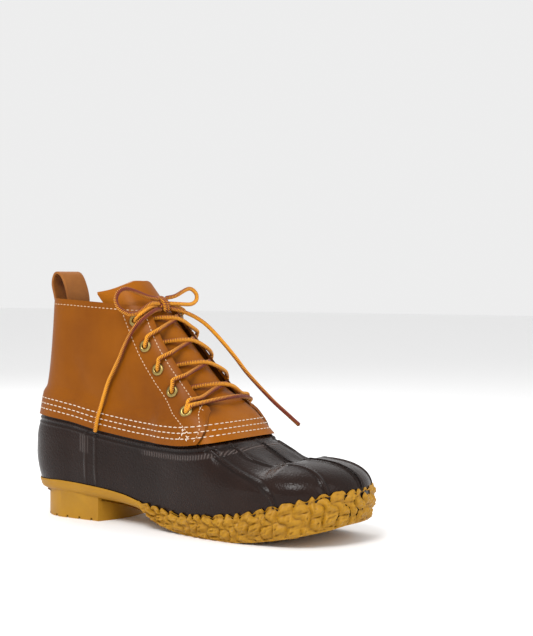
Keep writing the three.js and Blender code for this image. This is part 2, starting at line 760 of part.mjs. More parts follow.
/** The rubber galosh: open above its edge under the leather, and underneath inside its wall. */
function rubberShell() {
  const below = sidePrism([
    ...seamLine(BACK_LIMIT, FRONT_LIMIT, SEAM_OVERLAP),
    [2 * FOOT_LENGTH, SKY],
    [2 * FOOT_LENGTH, -SKY],
    [BACK_LIMIT, -SKY],
  ]);
  const opening = floorPlug(RUBBER_WALL + GAP, -2 * RUBBER_WALL, INSOLE + GAP);
  return shellOf(0, -RUBBER_WALL).intersect(below).subtract(opening);
}

/** A slab that follows the inside floor, set in from the form's side and between two heights over it. */
function floorPlug(inset, from, to) {
  const ring = (height) => STATIONS.map((s) => {
    const floor = stationFloor(s);
    const radius = stationRadius(s, floor) * (1 - TUCK) - inset;
    return stationPoint(s, radius, floor + height);
  });
  const spine = (height) => STATIONS.map((s) => new THREE.Vector3(s.x, 0, floorHeight(s.x) + height));
  return solidOf(loftRings([ring(from), ring(to)], spine(from), spine(to)));
}

// The sole's top edge and underside from the side, as shares of FOOT_LENGTH and RIM_HEIGHT
const RIM_ROWS = [
  { x: 0.00, top: 0.985, under: 0.66 },
  { x: 0.13, top: 1.010, under: 0.62 },
  { x: 0.26, top: 0.945, under: 0.56 },
  { x: 0.36, top: 0.825, under: 0.50 },
  { x: 0.42, top: 0.690, under: 0.40 },
  { x: 0.48, top: 0.590, under: 0.17 },
  { x: 0.54, top: 0.540, under: 0.05 },
  { x: 0.61, top: 0.540, under: 0.00 },
  { x: 0.72, top: 0.660, under: 0.00 },
  { x: 0.79, top: 0.790, under: 0.06 },
  { x: 0.86, top: 0.990, under: 0.18 },
  { x: 0.92, top: 1.190, under: 0.32 },
  { x: 0.97, top: 1.330, under: 0.44 },
  { x: 1.00, top: 1.340, under: 0.52 },
];

// The sole's edge from top to bottom: down is a share of its height, the others stand out from the rubber
// by shares of BAND_PROUD on the smooth band, of RIM_PROUD on the rim and of LUG_DEPTH at the lug rows
const EDGE_PROFILE = [
  { down: 0.00, band: 0.6, rim: 0.53, lug: 0.6 },
  { down: 0.20, band: 1.0, rim: 1.00, lug: 1.0 },
  { down: 0.45, band: 0.8, rim: 0.81, lug: 0.0 },
  { down: 0.72, band: -0.8, rim: 0.94, lug: -1.0 },
  { down: 1.00, band: -5.4, rim: -0.125, lug: -0.5 },
];
const LUG_FACETS = 3;

/** The form's side radius at a height, continued straight down below the floor. */
function sideRadius(station, z) {
  const floor = stationFloor(station);
  const wide = wideHeight(station.x);
  const height = Math.max(z, floor);
  const down = Math.max(0, (wide - height) / (wide - floor));
  return stationRadius(station, height) * (1 - TUCK * down * down);
}

/** Stations for the sole, close together where it has lugs, each with its length along the rim. */
function soleStations() {
  const fine = stationsAround(160, 60, 90);
  const at = fine.map((s) => stationPoint(s, sideRadius(s, stationFloor(s)), 0));
  const list = [];
  let length = 0;
  let since = 0;
  fine.forEach((s, n) => {
    const walked = at[n].distanceTo(at[(n + fine.length - 1) % fine.length]);
    length += walked;
    since += walked;
    const lugged = rimPlace(s) > LUGS_BEGIN * FOOT_LENGTH;
    const wanted = lugged ? LUG_PITCH / LUG_FACETS : LUG_PITCH;
    if (list.length > 0 && since < wanted - GAP) return;
    since = 0;
    list.push({ ...s, length });
  });
  return list;
}

/** Height of the sole's lower edge, which rests on the ground under the ball. */
const underHeight = (x) => RIM_HEIGHT * Math.max(0, between(RIM_ROWS, 'x', 'under', x / FOOT_LENGTH));

/** The sole: edge with its lugs, hollow for the galosh, heel block and tread bars. */
function outsole() {
  const stations = soleStations();
  const lines = stations.map((s) => {
    const share = rimPlace(s) / FOOT_LENGTH;
    const rimness = smooth(LUGS_BEGIN - 0.01, LUGS_BEGIN + 0.05, share);
    const top = RIM_HEIGHT * between(RIM_ROWS, 'x', 'top', share);
    const under = underHeight(rimPlace(s));
    const toeward = 1 - RIM_TOE_SLIM * smooth(0.93, 1.0, share);
    const wave = Math.cos((s.length / LUG_PITCH) * 2 * Math.PI);
    const line = EDGE_PROFILE.map((row) => {
      const lug = LUG_DEPTH * rimness * row.lug;
      const band = row.band * BAND_PROUD * (1 - rimness);
      const proud = band + row.rim * RIM_PROUD * toeward * rimness;
      const z = top - row.down * (top - under) + (row.down === 0 ? lug * wave : 0);
      return stationPoint(s, sideRadius(s, z) + GAP + proud + lug * wave, z);
    });
    const inner = stationPoint(s, sideRadius(s, top) - RUBBER_WALL, line[0].z);
    const plate = stationPoint(s, sideRadius(s, under) - TREAD_BAR / 2, under + TREAD * rimness);
    return { line, inner, plate };
  });
  const rings = [lines.map((l) => l.inner)];
  EDGE_PROFILE.forEach((row, k) => rings.push(lines.map((l) => l.line[k])));
  rings.push(lines.map((l) => l.plate));
  rings.reverse();
  const body = solidOf(loftAcross(rings));
  let sole = body.subtract(formOffset(2 * GAP));
  sole = sole.add(heelBlock().subtract(formOffset(2 * GAP)));
  for (const bar of treadBars()) sole = sole.add(bar);
  return sole;
}

// The heel block's outline, as shares of HEEL_LENGTH along and of its half width across
const HEEL_ROWS = [
  { x: 0.00, y: 0.00 },
  { x: 0.02, y: 0.30 },
  { x: 0.10, y: 0.62 },
  { x: 0.24, y: 0.86 },
  { x: 0.42, y: 0.96 },
  { x: 0.98, y: 1.00 },
  { x: 1.05, y: 0.60 },
  { x: 1.08, y: 0.00 },
];

// Where the heel's grooves lie, as shares of HEEL_LENGTH
const HEEL_GROOVES = [0.16, 0.34, 0.52, 0.70, 0.88];

/** The heel block with its grooves across. */
function heelBlock() {
  const half = HEEL_WIDTH / 2 - HEEL_INSET / 2;
  const back = HEEL_INSET + HEEL_SETBACK;
  const outline = HEEL_ROWS.map((row) => new THREE.Vector2(back + row.x * HEEL_LENGTH, -row.y * half));
  const other = HEEL_ROWS.slice(1, -1).reverse();
  outline.push(...other.map((row) => new THREE.Vector2(back + row.x * HEEL_LENGTH, row.y * half)));
  const tall = HEEL_HEIGHT + HEEL_INSET / 2;
  const block = new THREE.ExtrudeGeometry(new THREE.Shape(outline), { depth: tall, bevelEnabled: false });
  let heel = solidOf(block);
  for (const share of HEEL_GROOVES) {
    const groove = new THREE.BoxGeometry(HEEL_GROOVE, HEEL_WIDTH, HEEL_GROOVE);
    groove.translate(back + share * HEEL_LENGTH, 0, HEEL_GROOVE / 2 - GAP);
    heel = heel.subtract(solidOf(groove));
  }
  return heel;
}

/** Wavy bars across the underside of the forefoot, down to the ground plane or the toe's spring. */
function treadBars() {
  const bars = [];
  for (let k = 0; k < TREAD_BARS; k += 1) {
    const x = TREAD_BEGINS * FOOT_LENGTH + k * TREAD_PITCH;
    const low = underHeight(x);
    const station = (side) => {
      if (x <= TOE_CENTRE) return halfWidth(x, side);
      const share = (x - TOE_CENTRE) / TOE_ROUND;
      return halfWidth(TOE_CENTRE, side) * (1 - share ** TOE_OVAL) ** (1 / TOE_OVAL);
    };
    const from = -(station(-1) - HEEL_INSET);
    const to = station(1) - HEEL_INSET;
    const front = [];
    const rear = [];
    const steps = 6;
    for (let n = 0; n <= steps; n += 1) {
      const y = from + (to - from) * (n / steps);
      const wave = (n % 2 === 0 ? 1 : -1) * TREAD;
      front.push(new THREE.Vector2(x + TREAD_BAR / 2 + wave, y));
      rear.unshift(new THREE.Vector2(x - TREAD_BAR / 2 + wave, y));
    }
    const shape = new THREE.Shape([...front, ...rear]);
    const bar = new THREE.ExtrudeGeometry(shape, { depth: 2 * TREAD, bevelEnabled: false });
    bar.translate(0, 0, low);
    bars.push(solidOf(bar));
  }
  return bars;
}

// The pull loop's middle line from the rear leg's foot, over the top and down inside the collar. x is a
// share of LOOP_REACH, z of LOOP_RISE, both from the collar's rearmost point.
const LOOP_ROWS = [
  { x: 0.045, z: -0.42 },
  { x: -0.06, z: 0.02 },
  { x: -0.19, z: 0.48 },
  { x: -0.10, z: 0.83 },
  { x: 0.08, z: 0.93 },
  { x: 0.32, z: 0.82 },
  { x: 0.53, z: 0.50 },
  { x: 0.69, z: 0.07 },
  { x: 0.72, z: -0.30 },
  { x: 0.58, z: -0.76 },
  { x: 0.42, z: -1.22 },
  { x: 0.36, z: -1.42 },
];

/** A strap of leather bent into a loop over the back of the collar. */
function pullLoop() {
  const back = BACK_LEAN * between(BACK_ROWS, 'height', 'lean', LOOP_SEAT);
  const line = new THREE.CatmullRomCurve3(LOOP_ROWS.map((row) => new THREE.Vector3(
    back - LOOP_LEATHER + row.x * LOOP_REACH, 0, COLLAR_HEIGHT + row.z * LOOP_RISE)));
  const outer = [];
  const inner = [];
  const steps = 18;
  for (let k = 0; k <= steps; k += 1) {
    const p = line.getPointAt(k / steps);
    const t = line.getTangentAt(k / steps);
    outer.push(new THREE.Vector2(p.x - t.z * LOOP_LEATHER / 2, p.z + t.x * LOOP_LEATHER / 2));
    inner.unshift(new THREE.Vector2(p.x + t.z * LOOP_LEATHER / 2, p.z - t.x * LOOP_LEATHER / 2));
  }
  const shape = new THREE.Shape([...outer, ...inner]);
  const strap = new THREE.ExtrudeGeometry(shape, { depth: LOOP_WIDTH, bevelEnabled: false });
  strap.translate(0, 0, -LOOP_WIDTH / 2);
  strap.rotateX(Math.PI / 2);
  return solidOf(strap);
}

/** A round cord through points, as a solid with flat ends. */
function cordSolid(points, diameter, sides, steps) {
  const circle = [];
  for (let k = 0; k < sides; k += 1) {
    const angle = (k / sides) * 2 * Math.PI;
    circle.push(new THREE.Vector2(Math.cos(angle) * diameter / 2, Math.sin(angle) * diameter / 2));
  }
  const path = new THREE.CatmullRomCurve3(points);
  const options = { steps, bevelEnabled: false, extrudePath: path };
  return solidOf(new THREE.ExtrudeGeometry(new THREE.Shape(circle), options));
}

/** A point of the lacing that rests just clear of the tongue. */
function onTongue(along, y, rise) {
  const level = tongueOutside(throatPoint(along, y, 0).point) + LACE / 2 + 2 * GAP;
  return throatPoint(along, y, level + rise).point;
}

/** A point of the lacing over an eyelet's ring, at a distance from its axis towards the other side. */
function overRing(place, side, inward) {
  const across = new THREE.Vector3(0, -side, 0).projectOnPlane(place.normal).normalize();
  const clear = EYELET_LIFT + EYELET_PROUD + LACE / 2 + 2 * GAP;
  return place.point.clone().addScaledVector(across, inward).addScaledVector(place.normal, clear);
}

/** A point of the lacing where it comes over a quarter's edge. */
function overEdge(along, side) {
  const y = side * edgeHalf(along, side);
  const face = quarterInside(throatPoint(along, y, 0).point) + LEATHER;
  return throatPoint(along, y, face + EYELET_PROUD + LACE / 2 + 2 * GAP).point;
}

// Where a strand starts and leaves its eyelet's ring, as shares of EYELET_FLANGE from its axis
const RING_START = 0.35;
const RING_END = 1.3;

// A strand's way across the tongue: up is a share of the rows' pitch, across of the edge on its own side or,
// below zero, of the edge that it goes under, and arch of the strand's arch
const STRAND_ROWS = [
  { up: 0.38, across: 0.50, arch: 1.0 },
  { up: 0.52, across: 0.00, arch: 0.9 },
  { up: 0.66, across: -0.42, arch: 0.6 },
  { up: 0.80, across: -0.76, arch: 0.2 },
];
const EDGE_UP = 0.24;

/** A strand from an eyelet, over the quarter's edge and across the tongue to the other edge. */
function crossStrand(row, side, arch) {
  const along = (up) => eyeletAlong(row) - EYELET_PITCH * up;
  const eyelet = eyeletPlace(row, side);
  const tongueWay = STRAND_ROWS.map((step) => {
    const towards = step.across < 0 ? -side : side;
    const y = towards * Math.abs(step.across) * edgeHalf(along(step.up), towards);
    return onTongue(along(step.up), y, step.arch * arch);
  });
  return [
    overRing(eyelet, side, RING_START * EYELET_FLANGE),
    overRing(eyelet, side, RING_END * EYELET_FLANGE),
    overEdge(along(EDGE_UP), side),
    ...tongueWay,
  ];
}

const LACE_FACES = 6;
const STRAND_STEPS = 11;

/** The bar that the lace makes outside between the last two eyelets. */
function laceBar() {
  const lateral = eyeletPlace(EYELET_ROWS, -1);
  const medial = eyeletPlace(EYELET_ROWS, 1);
  const points = [
    overRing(lateral, -1, RING_START * EYELET_FLANGE),
    overRing(lateral, -1, RING_END * EYELET_FLANGE),
    onTongue(eyeletAlong(EYELET_ROWS), 0, BAR_ARCH),
    overRing(medial, 1, RING_END * EYELET_FLANGE),
    overRing(medial, 1, RING_START * EYELET_FLANGE),
  ];
  return cordSolid(points, LACE, LACE_FACES, STRAND_STEPS);
}

/** The two strands that cross between two rows of eyelets, with the bar at the last row. */
function laceCross(row) {
  const top = cordSolid(crossStrand(row, 1, TOP_ARCH), LACE, LACE_FACES, STRAND_STEPS);
  const low = cordSolid(crossStrand(row, -1, LOW_ARCH), LACE, LACE_FACES, STRAND_STEPS);
  const both = top.add(low);
  return row === EYELET_ROWS ? both.add(laceBar()) : both;
}

addPiece('outsole', outsole(), soleLook);
addPiece('rubber_shell', rubberShell(), rubberLook);
addPiece('leather_shaft', leatherShaft(), leatherLook);
addPiece('tongue', tongue(), tongueLook);
addPiece('insole', floorPlug(RUBBER_WALL + 3 * GAP, 0, INSOLE), insoleLook);
addPiece('pull_loop', pullLoop(), loopLook);
for (const { side, name } of SIDES) {
  for (let row = 1; row <= EYELET_ROWS; row += 1) {
    addPiece(`eyelet_${name}_${row}`, eyeletRing(eyeletPlace(row, side)), brassLook);
  }
}
for (let row = EYELET_ROWS; row > 1; row -= 1) {
  addPiece(`lace_cross_${EYELET_ROWS + 1 - row}`, laceCross(row), laceLook);
}

// The bow's knot, loops and free ends: points of their middle lines, [x, y, z]
const KNOT = [[117.4, -3, 173.6], [121.6, -3, 168.7], [125.8, -3, 163.8]];
const LOOP_LATERAL = [
  [121.3, -7.1, 172.6], [117.5, -15, 174.2], [113.6, -22, 177.3], [111.2, -28, 179.5], [109, -33.5, 180.5],
  [107, -38, 178.3], [105.9, -40, 173.9], [106.8, -41, 170.5], [109, -41, 166.6], [111.9, -39, 163.6],
  [114.9, -34, 161.3], [117.6, -27, 163], [121.5, -17, 169.2], [121.5, -7.1, 168.8],
];
const LOOP_MEDIAL = [
  [120.9, 0.85, 173.1], [124.3, 9, 174.8], [125.7, 17, 178.2], [125.9, 23, 180.1], [126.7, 27, 180],
  [128.2, 30, 177.3], [128.9, 31, 174.2], [129.3, 29, 170.6], [128.8, 23, 168.2], [126.9, 12, 168.5],
  [122.9, 0.85, 169.2],
];
const END_LATERAL = [
  [122.6, -6.85, 164.6], [125.3, -18.5, 163.6], [121.4, -31.4, 155.6], [115.5, -34, 147.1],
  [109.4, -35, 136.3], [105.3, -35.4, 127.9], [99.1, -35.8, 117], [94.3, -36, 108.4], [88.7, -37.8, 90.6],
  [85.7, -39, 79.8], [83.2, -38.6, 69.9],
];
const END_MEDIAL = [
  [125.2, 1.2, 165.4], [129, 10, 163.4], [135.4, 20, 158.4], [142.6, 26, 151.8], [152.8, 30, 140.8],
  [164.5, 33, 127.4], [174.7, 36, 114.4], [194.2, 39, 95.7], [206.7, 41, 85.4], [218.7, 42, 76.3],
];
const KNOT_WIDTH = 7;
const CORD_FACES = 8;
const CORD_STEP = 2.6;
const FEWEST_STEPS = 4;

/** Adds a cord of the bow through its points, with a step every few lace widths. */
function addCord(name, points, diameter) {
  const line = points.map((p) => new THREE.Vector3(...p));
  const length = new THREE.CatmullRomCurve3(line).getLength();
  const steps = Math.max(FEWEST_STEPS, Math.round(length / (CORD_STEP * LACE)));
  return addPiece(name, cordSolid(line, diameter, CORD_FACES, steps), laceLook);
}

const bow = [
  addCord('lace_knot', KNOT, KNOT_WIDTH),
  addCord('lace_loop_lateral', LOOP_LATERAL, LACE),
  addCord('lace_loop_medial', LOOP_MEDIAL, LACE),
  addCord('lace_end_lateral', END_LATERAL, LACE),
  addCord('lace_end_medial', END_MEDIAL, LACE),
];

/** Stands the boot on the ground with its own middle, without the bow, over the origin. */
function centre() {
  const box = new THREE.Box3();
  for (const mesh of group.children) if (!bow.includes(mesh)) box.expandByObject(mesh);
  const middle = box.getCenter(new THREE.Vector3());
  for (const mesh of group.children) mesh.geometry.translate(-middle.x, -middle.y, -box.min.z);
}

centre();

export default group;
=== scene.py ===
"""Looks of a laced duck boot for the right foot: rubber shell, leather shaft, chain-tread sole and round lace.

Shapes are worked out in millimetres in the last's own frame (heel at x = 0, ground at z = 0) and moved to the
part's frame, in metres, when each piece is finished.
"""

from __future__ import annotations

import logging
import math
from dataclasses import dataclass, field
from enum import Enum
from typing import Callable, Sequence

import bmesh
import bpy
import numpy as np
from mathutils import Matrix, Vector
from mathutils.bvhtree import BVHTree

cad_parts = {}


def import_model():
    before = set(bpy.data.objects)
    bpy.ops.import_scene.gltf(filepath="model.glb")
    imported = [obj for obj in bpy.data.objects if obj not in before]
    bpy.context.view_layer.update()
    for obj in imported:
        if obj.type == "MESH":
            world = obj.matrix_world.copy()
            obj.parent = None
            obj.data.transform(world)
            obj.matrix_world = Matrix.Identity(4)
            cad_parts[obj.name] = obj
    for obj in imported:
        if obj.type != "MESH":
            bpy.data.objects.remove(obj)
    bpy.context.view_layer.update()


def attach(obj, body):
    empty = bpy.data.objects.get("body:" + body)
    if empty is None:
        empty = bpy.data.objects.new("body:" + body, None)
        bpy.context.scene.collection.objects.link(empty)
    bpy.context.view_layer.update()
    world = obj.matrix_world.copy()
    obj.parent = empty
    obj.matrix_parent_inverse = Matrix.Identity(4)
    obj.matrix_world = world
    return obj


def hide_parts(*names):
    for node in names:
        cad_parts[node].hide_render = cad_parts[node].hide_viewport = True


log = logging.getLogger("boot")

MIDDLE = np.array([151.2016, -2.0874, 0.0])
ROOT = "root"
Shift = Callable[[np.ndarray], np.ndarray]


class Side(Enum):
    """A side of the right foot, with its sign along Y."""

    LATERAL = -1
    MEDIAL = 1


class Cut(Enum):
    """How one solid is combined with another."""

    JOIN = "UNION"
    TAKE_OFF = "DIFFERENCE"
    KEEP_INSIDE = "INTERSECT"


def to_row(points: np.ndarray) -> np.ndarray:
    """Points of the last's frame, in millimetres, as points of the part's frame, in metres."""
    return (np.asarray(points, float) - MIDDLE) * 0.001


def smooth(low: float, high: float, at: np.ndarray | float) -> np.ndarray:
    """A soft step from 0 at low to 1 at high."""
    t = np.clip((np.asarray(at, float) - low) / (high - low), 0.0, 1.0)
    return t * t * (3 - 2 * t)


def between(rows: Sequence[tuple[float, float]], at: np.ndarray | float) -> np.ndarray:
    """A smooth value between the rows of a table, level beyond its ends.

    Args:
        rows: pairs of a place and its value, places rising.
        at: the places wanted.

    Returns:
        The value at each place.
    """
    table = np.asarray(rows, float)
    key, value = table[:, 0], table[:, 1]
    slope = np.zeros(len(key))
    slope[1:-1] = (value[2:] - value[:-2]) / (key[2:] - key[:-2])
    x = np.clip(np.asarray(at, float), key[0], key[-1])
    i = np.clip(np.searchsorted(key, x, side="right") - 1, 0, len(key) - 2)
    span = key[i + 1] - key[i]
    t = (x - key[i]) / span
    rise = value[i + 1] - value[i]
    a = slope[i] * span - rise
    b = rise - slope[i + 1] * span
    return value[i] + t * rise + t * (1 - t) * ((1 - t) * a + t * b)


def near_line(points: np.ndarray, line: Sequence[Sequence[float]]) -> np.ndarray:
    """Distance of each point from a line through several places.

    Args:
        points: an (n, 3) array.
        line: the places that the line joins.

    Returns:
        The distance of each point from the nearest piece of the line.
    """
    best = np.full(len(points), np.inf)
    spots = np.asarray(line, float)
    for a, b in zip(spots[:-1], spots[1:]):
        along = b - a
        t = np.clip((points - a) @ along / (along @ along), 0, 1)
        best = np.minimum(best, np.linalg.norm(points - (a + t[:, None] * along), axis=1))
    return best


def through(points: Sequence[Sequence[float]], count: int) -> np.ndarray:
    """A smooth line through points, as evenly spaced points.

    Args:
        points: the places that the line passes.
        count: how many points come back.

    Returns:
        An (count, 3) array.
    """
    p = np.asarray(points, float)
    ends = np.vstack([2 * p[0] - p[1], p, 2 * p[-1] - p[-2]])
    fine = []
    for k in range(len(p) - 1):
        a, b, c, d = ends[k : k + 4]
        t = np.linspace(0, 1, 24, endpoint=False)[:, None]
        fine.append(0.5 * (2 * b + (c - a) * t + (2 * a - 5 * b + 4 * c - d) * t**2 + (3 * b - a - 3 * c + d) * t**3))
    line = np.vstack(fine + [p[-1:]])
    run = np.concatenate([[0], np.cumsum(np.linalg.norm(np.diff(line, axis=0), axis=1))])
    wanted = np.linspace(0, run[-1], count)
    return np.stack([np.interp(wanted, run, line[:, n]) for n in range(3)], axis=1)


class Sheet:
    """A grid of points shaped into a surface, closed where its edges meet."""

    @staticmethod
    def mesh(name: str, places: np.ndarray, uv: np.ndarray | None = None, close: float = 1e-4) -> bpy.types.Mesh:
        """Shapes a grid and merges the points that meet.

        Args:
            name: the mesh's name.
            places: an (m, n, 3) array of places.
            uv: an (m, n, 2) array for the pattern that follows the surface.
            close: how near two points merge.

        Returns:
            A mesh whose faces point outwards.
        """
        m, n = places.shape[:2]
        bm = bmesh.new()
        bmesh.ops.create_grid(bm, x_segments=n - 1, y_segments=m - 1, size=1.0)
        bm.verts.ensure_lookup_table()
        raw = np.array([v.co[:] for v in bm.verts])
        order = np.lexsort((np.round(raw[:, 0], 6), np.round(raw[:, 1], 6)))
        flat = places.reshape(-1, 3)
        if uv is not None:
            layer = bm.loops.layers.uv.new("along")
            table = np.zeros((len(order), 2))
            table[order] = uv.reshape(-1, 2)
            for face in bm.faces:
                for loop in face.loops:
                    loop[layer].uv = table[loop.vert.index]
        for at, spot in zip(order, flat):
            bm.verts[at].co = spot
        bmesh.ops.remove_doubles(bm, verts=bm.verts, dist=close)
        bmesh.ops.dissolve_degenerate(bm, edges=bm.edges, dist=close * 0.1)
        bmesh.ops.recalc_face_normals(bm, faces=bm.faces)
        mesh = bpy.data.meshes.new(name)
        bm.to_mesh(mesh)
        bm.free()
        return mesh


class Solid:
    """Closed meshes and how they are joined and cut."""

    @staticmethod
    def coordinates(mesh: bpy.types.Mesh) -> np.ndarray:
        """The places of a mesh's points."""
        data = np.empty(len(mesh.vertices) * 3, np.float32)
        mesh.vertices.foreach_get("co", data)
        return data.reshape(-1, 3).astype(float)

    @staticmethod
    def normals(mesh: bpy.types.Mesh) -> np.ndarray:
        """The normals at a mesh's points."""
        data = np.empty(len(mesh.vertices) * 3, np.float32)
        mesh.vertex_normals.foreach_get("vector", data)
        return data.reshape(-1, 3).astype(float)

    @staticmethod
    def moved(mesh: bpy.types.Mesh, places: np.ndarray) -> bpy.types.Mesh:
        """A copy of a mesh with its points at new places."""
        copy = mesh.copy()
        copy.vertices.foreach_set("co", places.astype(np.float32).ravel())
        copy.update()
        return copy

    @staticmethod
    def prism(outline: Sequence[Sequence[float]], way: Vector) -> bpy.types.Mesh:
        """A flat outline drawn out along a direction.

        Args:
            outline: the outline's corners in space.
            way: how far and where it is drawn.

        Returns:
            A closed mesh.
        """
        bm = bmesh.new()
        face = bm.faces.new([bm.verts.new(p) for p in outline])
        result = bmesh.ops.extrude_face_region(bm, geom=[face])
        moved = [g for g in result["geom"] if isinstance(g, bmesh.types.BMVert)]
        bmesh.ops.translate(bm, verts=moved, vec=way)
        bmesh.ops.triangulate(bm, faces=bm.faces)
        bmesh.ops.recalc_face_normals(bm, faces=bm.faces)
        mesh = bpy.data.meshes.new("prism")
        bm.to_mesh(mesh)
        bm.free()
        return mesh

    @staticmethod
    def paint(mesh: bpy.types.Mesh, values: np.ndarray, skin: bpy.types.Mesh | None = None, wall: float = 0.8) -> None:
        """Stores how much painted shade darkens each spot, with cut walls darker than the skin: the leather's raw edge
        colour together with painted shade along the edge.

        Args:
            mesh: the mesh that gets the attribute.
            values: the painted shade at each point.
            skin: the uncut surface; faces square to it are cut walls.
            wall: the value on cut walls, raw edge colour and painted shade together.
        """
        corner = np.empty(len(mesh.loops), np.int32)
        mesh.loops.foreach_get("vertex_index", corner)
        shade = np.clip(values, 0, 1)[corner]
        if skin is not None:
            tree = BVHTree.FromPolygons([v.co for v in skin.vertices], [p.vertices for p in skin.polygons])
            for face in mesh.polygons:
                _, normal, _, _ = tree.find_nearest(face.center)
                if normal is not None and abs(normal.dot(face.normal)) < 0.5:
                    shade[face.loop_start : face.loop_start + face.loop_total] = wall
        mesh.attributes.new("hollow", "FLOAT", "CORNER").data.foreach_set("value", shade.astype(np.float32))

    @staticmethod
    def combine(first: bpy.types.Mesh, second: bpy.types.Mesh, cut: Cut) -> bpy.types.Mesh:
        """Joins or cuts two closed meshes.

        Args:
            first: the mesh that is worked on.
            second: the mesh that works on it.
            cut: what is done.

        Returns:
            The result as a new mesh.
        """
        scene = bpy.context.scene.collection
        a = bpy.data.objects.new("work", first)
        b = bpy.data.objects.new("tool", second)
        scene.objects.link(a)
        scene.objects.link(b)
        step = a.modifiers.new("cut", "BOOLEAN")
        step.operation = cut.value
        step.solver = "MANIFOLD"
        step.object = b
        bpy.context.view_layer.update()
        graph = bpy.context.evaluated_depsgraph_get()
        result = bpy.data.meshes.new_from_object(a.evaluated_get(graph))
        bpy.data.objects.remove(a)
        bpy.data.objects.remove(b)
        return result


@dataclass
class Last:
    """The form of the boot, on the outside of the rubber, with every other surface set off from it."""

    length: float = 298.0
    ball: float = 97.0
    heel_width: float = 69.0
    heel_centre: float = 50.0
    toe_round: float = 44.0
    instep: float = 71.0
    instep_place: float = 204.0
    slope: float = math.radians(48.7)
    collar: float = 174.0
    back_lean: float = 22.0
    rim: float = 29.0
    heel_oval: float = 2.6
    toe_oval: float = 2.1
    waist: float = 0.05
    tuck: float = 0.05
    lateral: tuple = ((0.168, 0.340), (0.235, 0.352), (0.350, 0.362), (0.470, 0.402), (0.570, 0.462),
                      (0.680, 0.515), (0.760, 0.530), (0.852, 0.515))
    medial: tuple = ((0.168, 0.340), (0.235, 0.346), (0.350, 0.342), (0.470, 0.358), (0.570, 0.402),
                     (0.680, 0.455), (0.760, 0.480), (0.852, 0.470))
    wide: tuple = ((0.168, 0.70), (0.235, 0.66), (0.350, 0.60), (0.470, 0.54), (0.570, 0.50), (0.680, 0.47),
                   (0.760, 0.48), (0.852, 0.50))
    full: tuple = ((0.168, 4.0), (0.235, 4.0), (0.350, 3.8), (0.470, 3.6), (0.570, 3.4), (0.680, 3.0),
                   (0.760, 2.7), (0.852, 2.5))
    crowns: tuple = ((0.655, 1.140), (0.685, 1.000), (0.715, 0.930), (0.752, 0.850), (0.785, 0.775),
                     (0.810, 0.748), (0.832, 0.775), (0.852, 0.807))
    backs: tuple = ((0.10, 0.30), (0.17, 0.12), (0.29, 0.00), (0.38, 0.06), (0.46, 0.29), (0.53, 0.42),
                    (0.59, 0.56), (0.65, 0.68), (0.80, 0.86), (0.95, 0.98), (1.10, 1.02))
    floors: tuple = ((0.00, 0.358), (0.20, 0.353), (0.35, 0.290), (0.50, 0.176), (0.62, 0.134), (0.76, 0.139),
                     (0.88, 0.198), (1.00, 0.310))
    seams: tuple = ((-0.05, 1.135), (0.05, 1.130), (0.18, 1.081), (0.285, 1.008), (0.43, 0.944), (0.55, 0.929),
                    (0.60, 0.940), (0.65, 0.968), (0.69, 1.000), (0.73, 1.055), (0.80, 1.230))

    def __post_init__(self) -> None:
        """Works out the throat's directions."""
        self.toe_centre = self.length - self.toe_round
        self.top = 1.22 * self.collar
        self.along = np.array([math.cos(self.slope), 0, -math.sin(self.slope)])
        self.out = np.array([math.sin(self.slope), 0, math.cos(self.slope)])
        self.instep_point = np.array([self.instep_place, 0, self.instep])

    def crown(self, x: np.ndarray) -> np.ndarray:
        """Height of the crown line."""
        straight = self.instep + (self.instep_place - x) * math.tan(self.slope)
        front = self.instep * between(self.crowns, x / self.length)
        mix = smooth(self.instep_place - 0.02 * self.length, self.instep_place + 0.02 * self.length, x)
        return straight * (1 - mix) + front * mix

    def floor(self, x: np.ndarray) -> np.ndarray:
        """Height of the inside floor."""
        return self.instep * between(self.floors, np.asarray(x) / self.length)

    def widest(self, x: np.ndarray) -> np.ndarray:
        """Height of the widest line."""
        return self.instep * between(self.wide, np.asarray(x) / self.length)

    def power(self, x: np.ndarray) -> np.ndarray:
        """How full the section is over the widest line."""
        return between(self.full, np.asarray(x) / self.length)

    def seam(self, x: np.ndarray) -> np.ndarray:
        """Height of the leather's lower edge."""
        return self.instep * between(self.seams, np.asarray(x) / self.length)

    def half(self, x: np.ndarray, side: np.ndarray) -> np.ndarray:
        """Half of the width at the widest line, on one side."""
        part = 1 - smooth(self.heel_centre, 0.5 * self.length, x)
        result = []
        for rows in (self.lateral, self.medial):
            scale = (self.heel_width / self.ball) / (2 * rows[0][1] * 1.046)
            result.append(self.ball * between(rows, np.asarray(x) / self.length) * (1 + (scale - 1) * part))
        return np.where(np.asarray(side) < 0, result[0], result[1])

    @staticmethod
    def oval(angle: np.ndarray, a: np.ndarray, b: np.ndarray, power: float) -> np.ndarray:
        """Distance from the centre to a fuller or leaner oval."""
        along = np.abs(np.cos(angle) / a) ** power
        return (along + np.abs(np.sin(angle) / b) ** power) ** (-1 / power)

    def stations(self, side_steps: int, heel_steps: int, toe_steps: int) -> np.ndarray:
        """Places round the form.

        Args:
            side_steps: steps along each side.
            heel_steps: steps round half of the heel.
            toe_steps: steps round half of the toe.

        Returns:
            Rows of x, side, end and angle, once round from the back over the lateral side and the toe.
        """
        ring: list[tuple[float, float, float, float]] = []
        for k in range(heel_steps):
            ring.append((self.heel_centre, 1, -1, k / heel_steps * math.pi / 2))
        for k in range(side_steps + 1):
            ring.append((self.heel_centre + k / side_steps * (self.toe_centre - self.heel_centre), 1, 0, math.pi / 2))
        for k in range(1, toe_steps + 1):
            ring.append((self.toe_centre, 1, 1, (1 - k / toe_steps) * math.pi / 2))
        half = np.array(ring)
        lateral = half * [1, -1, 1, 1]
        return np.vstack([lateral, half[1:-1][::-1]])

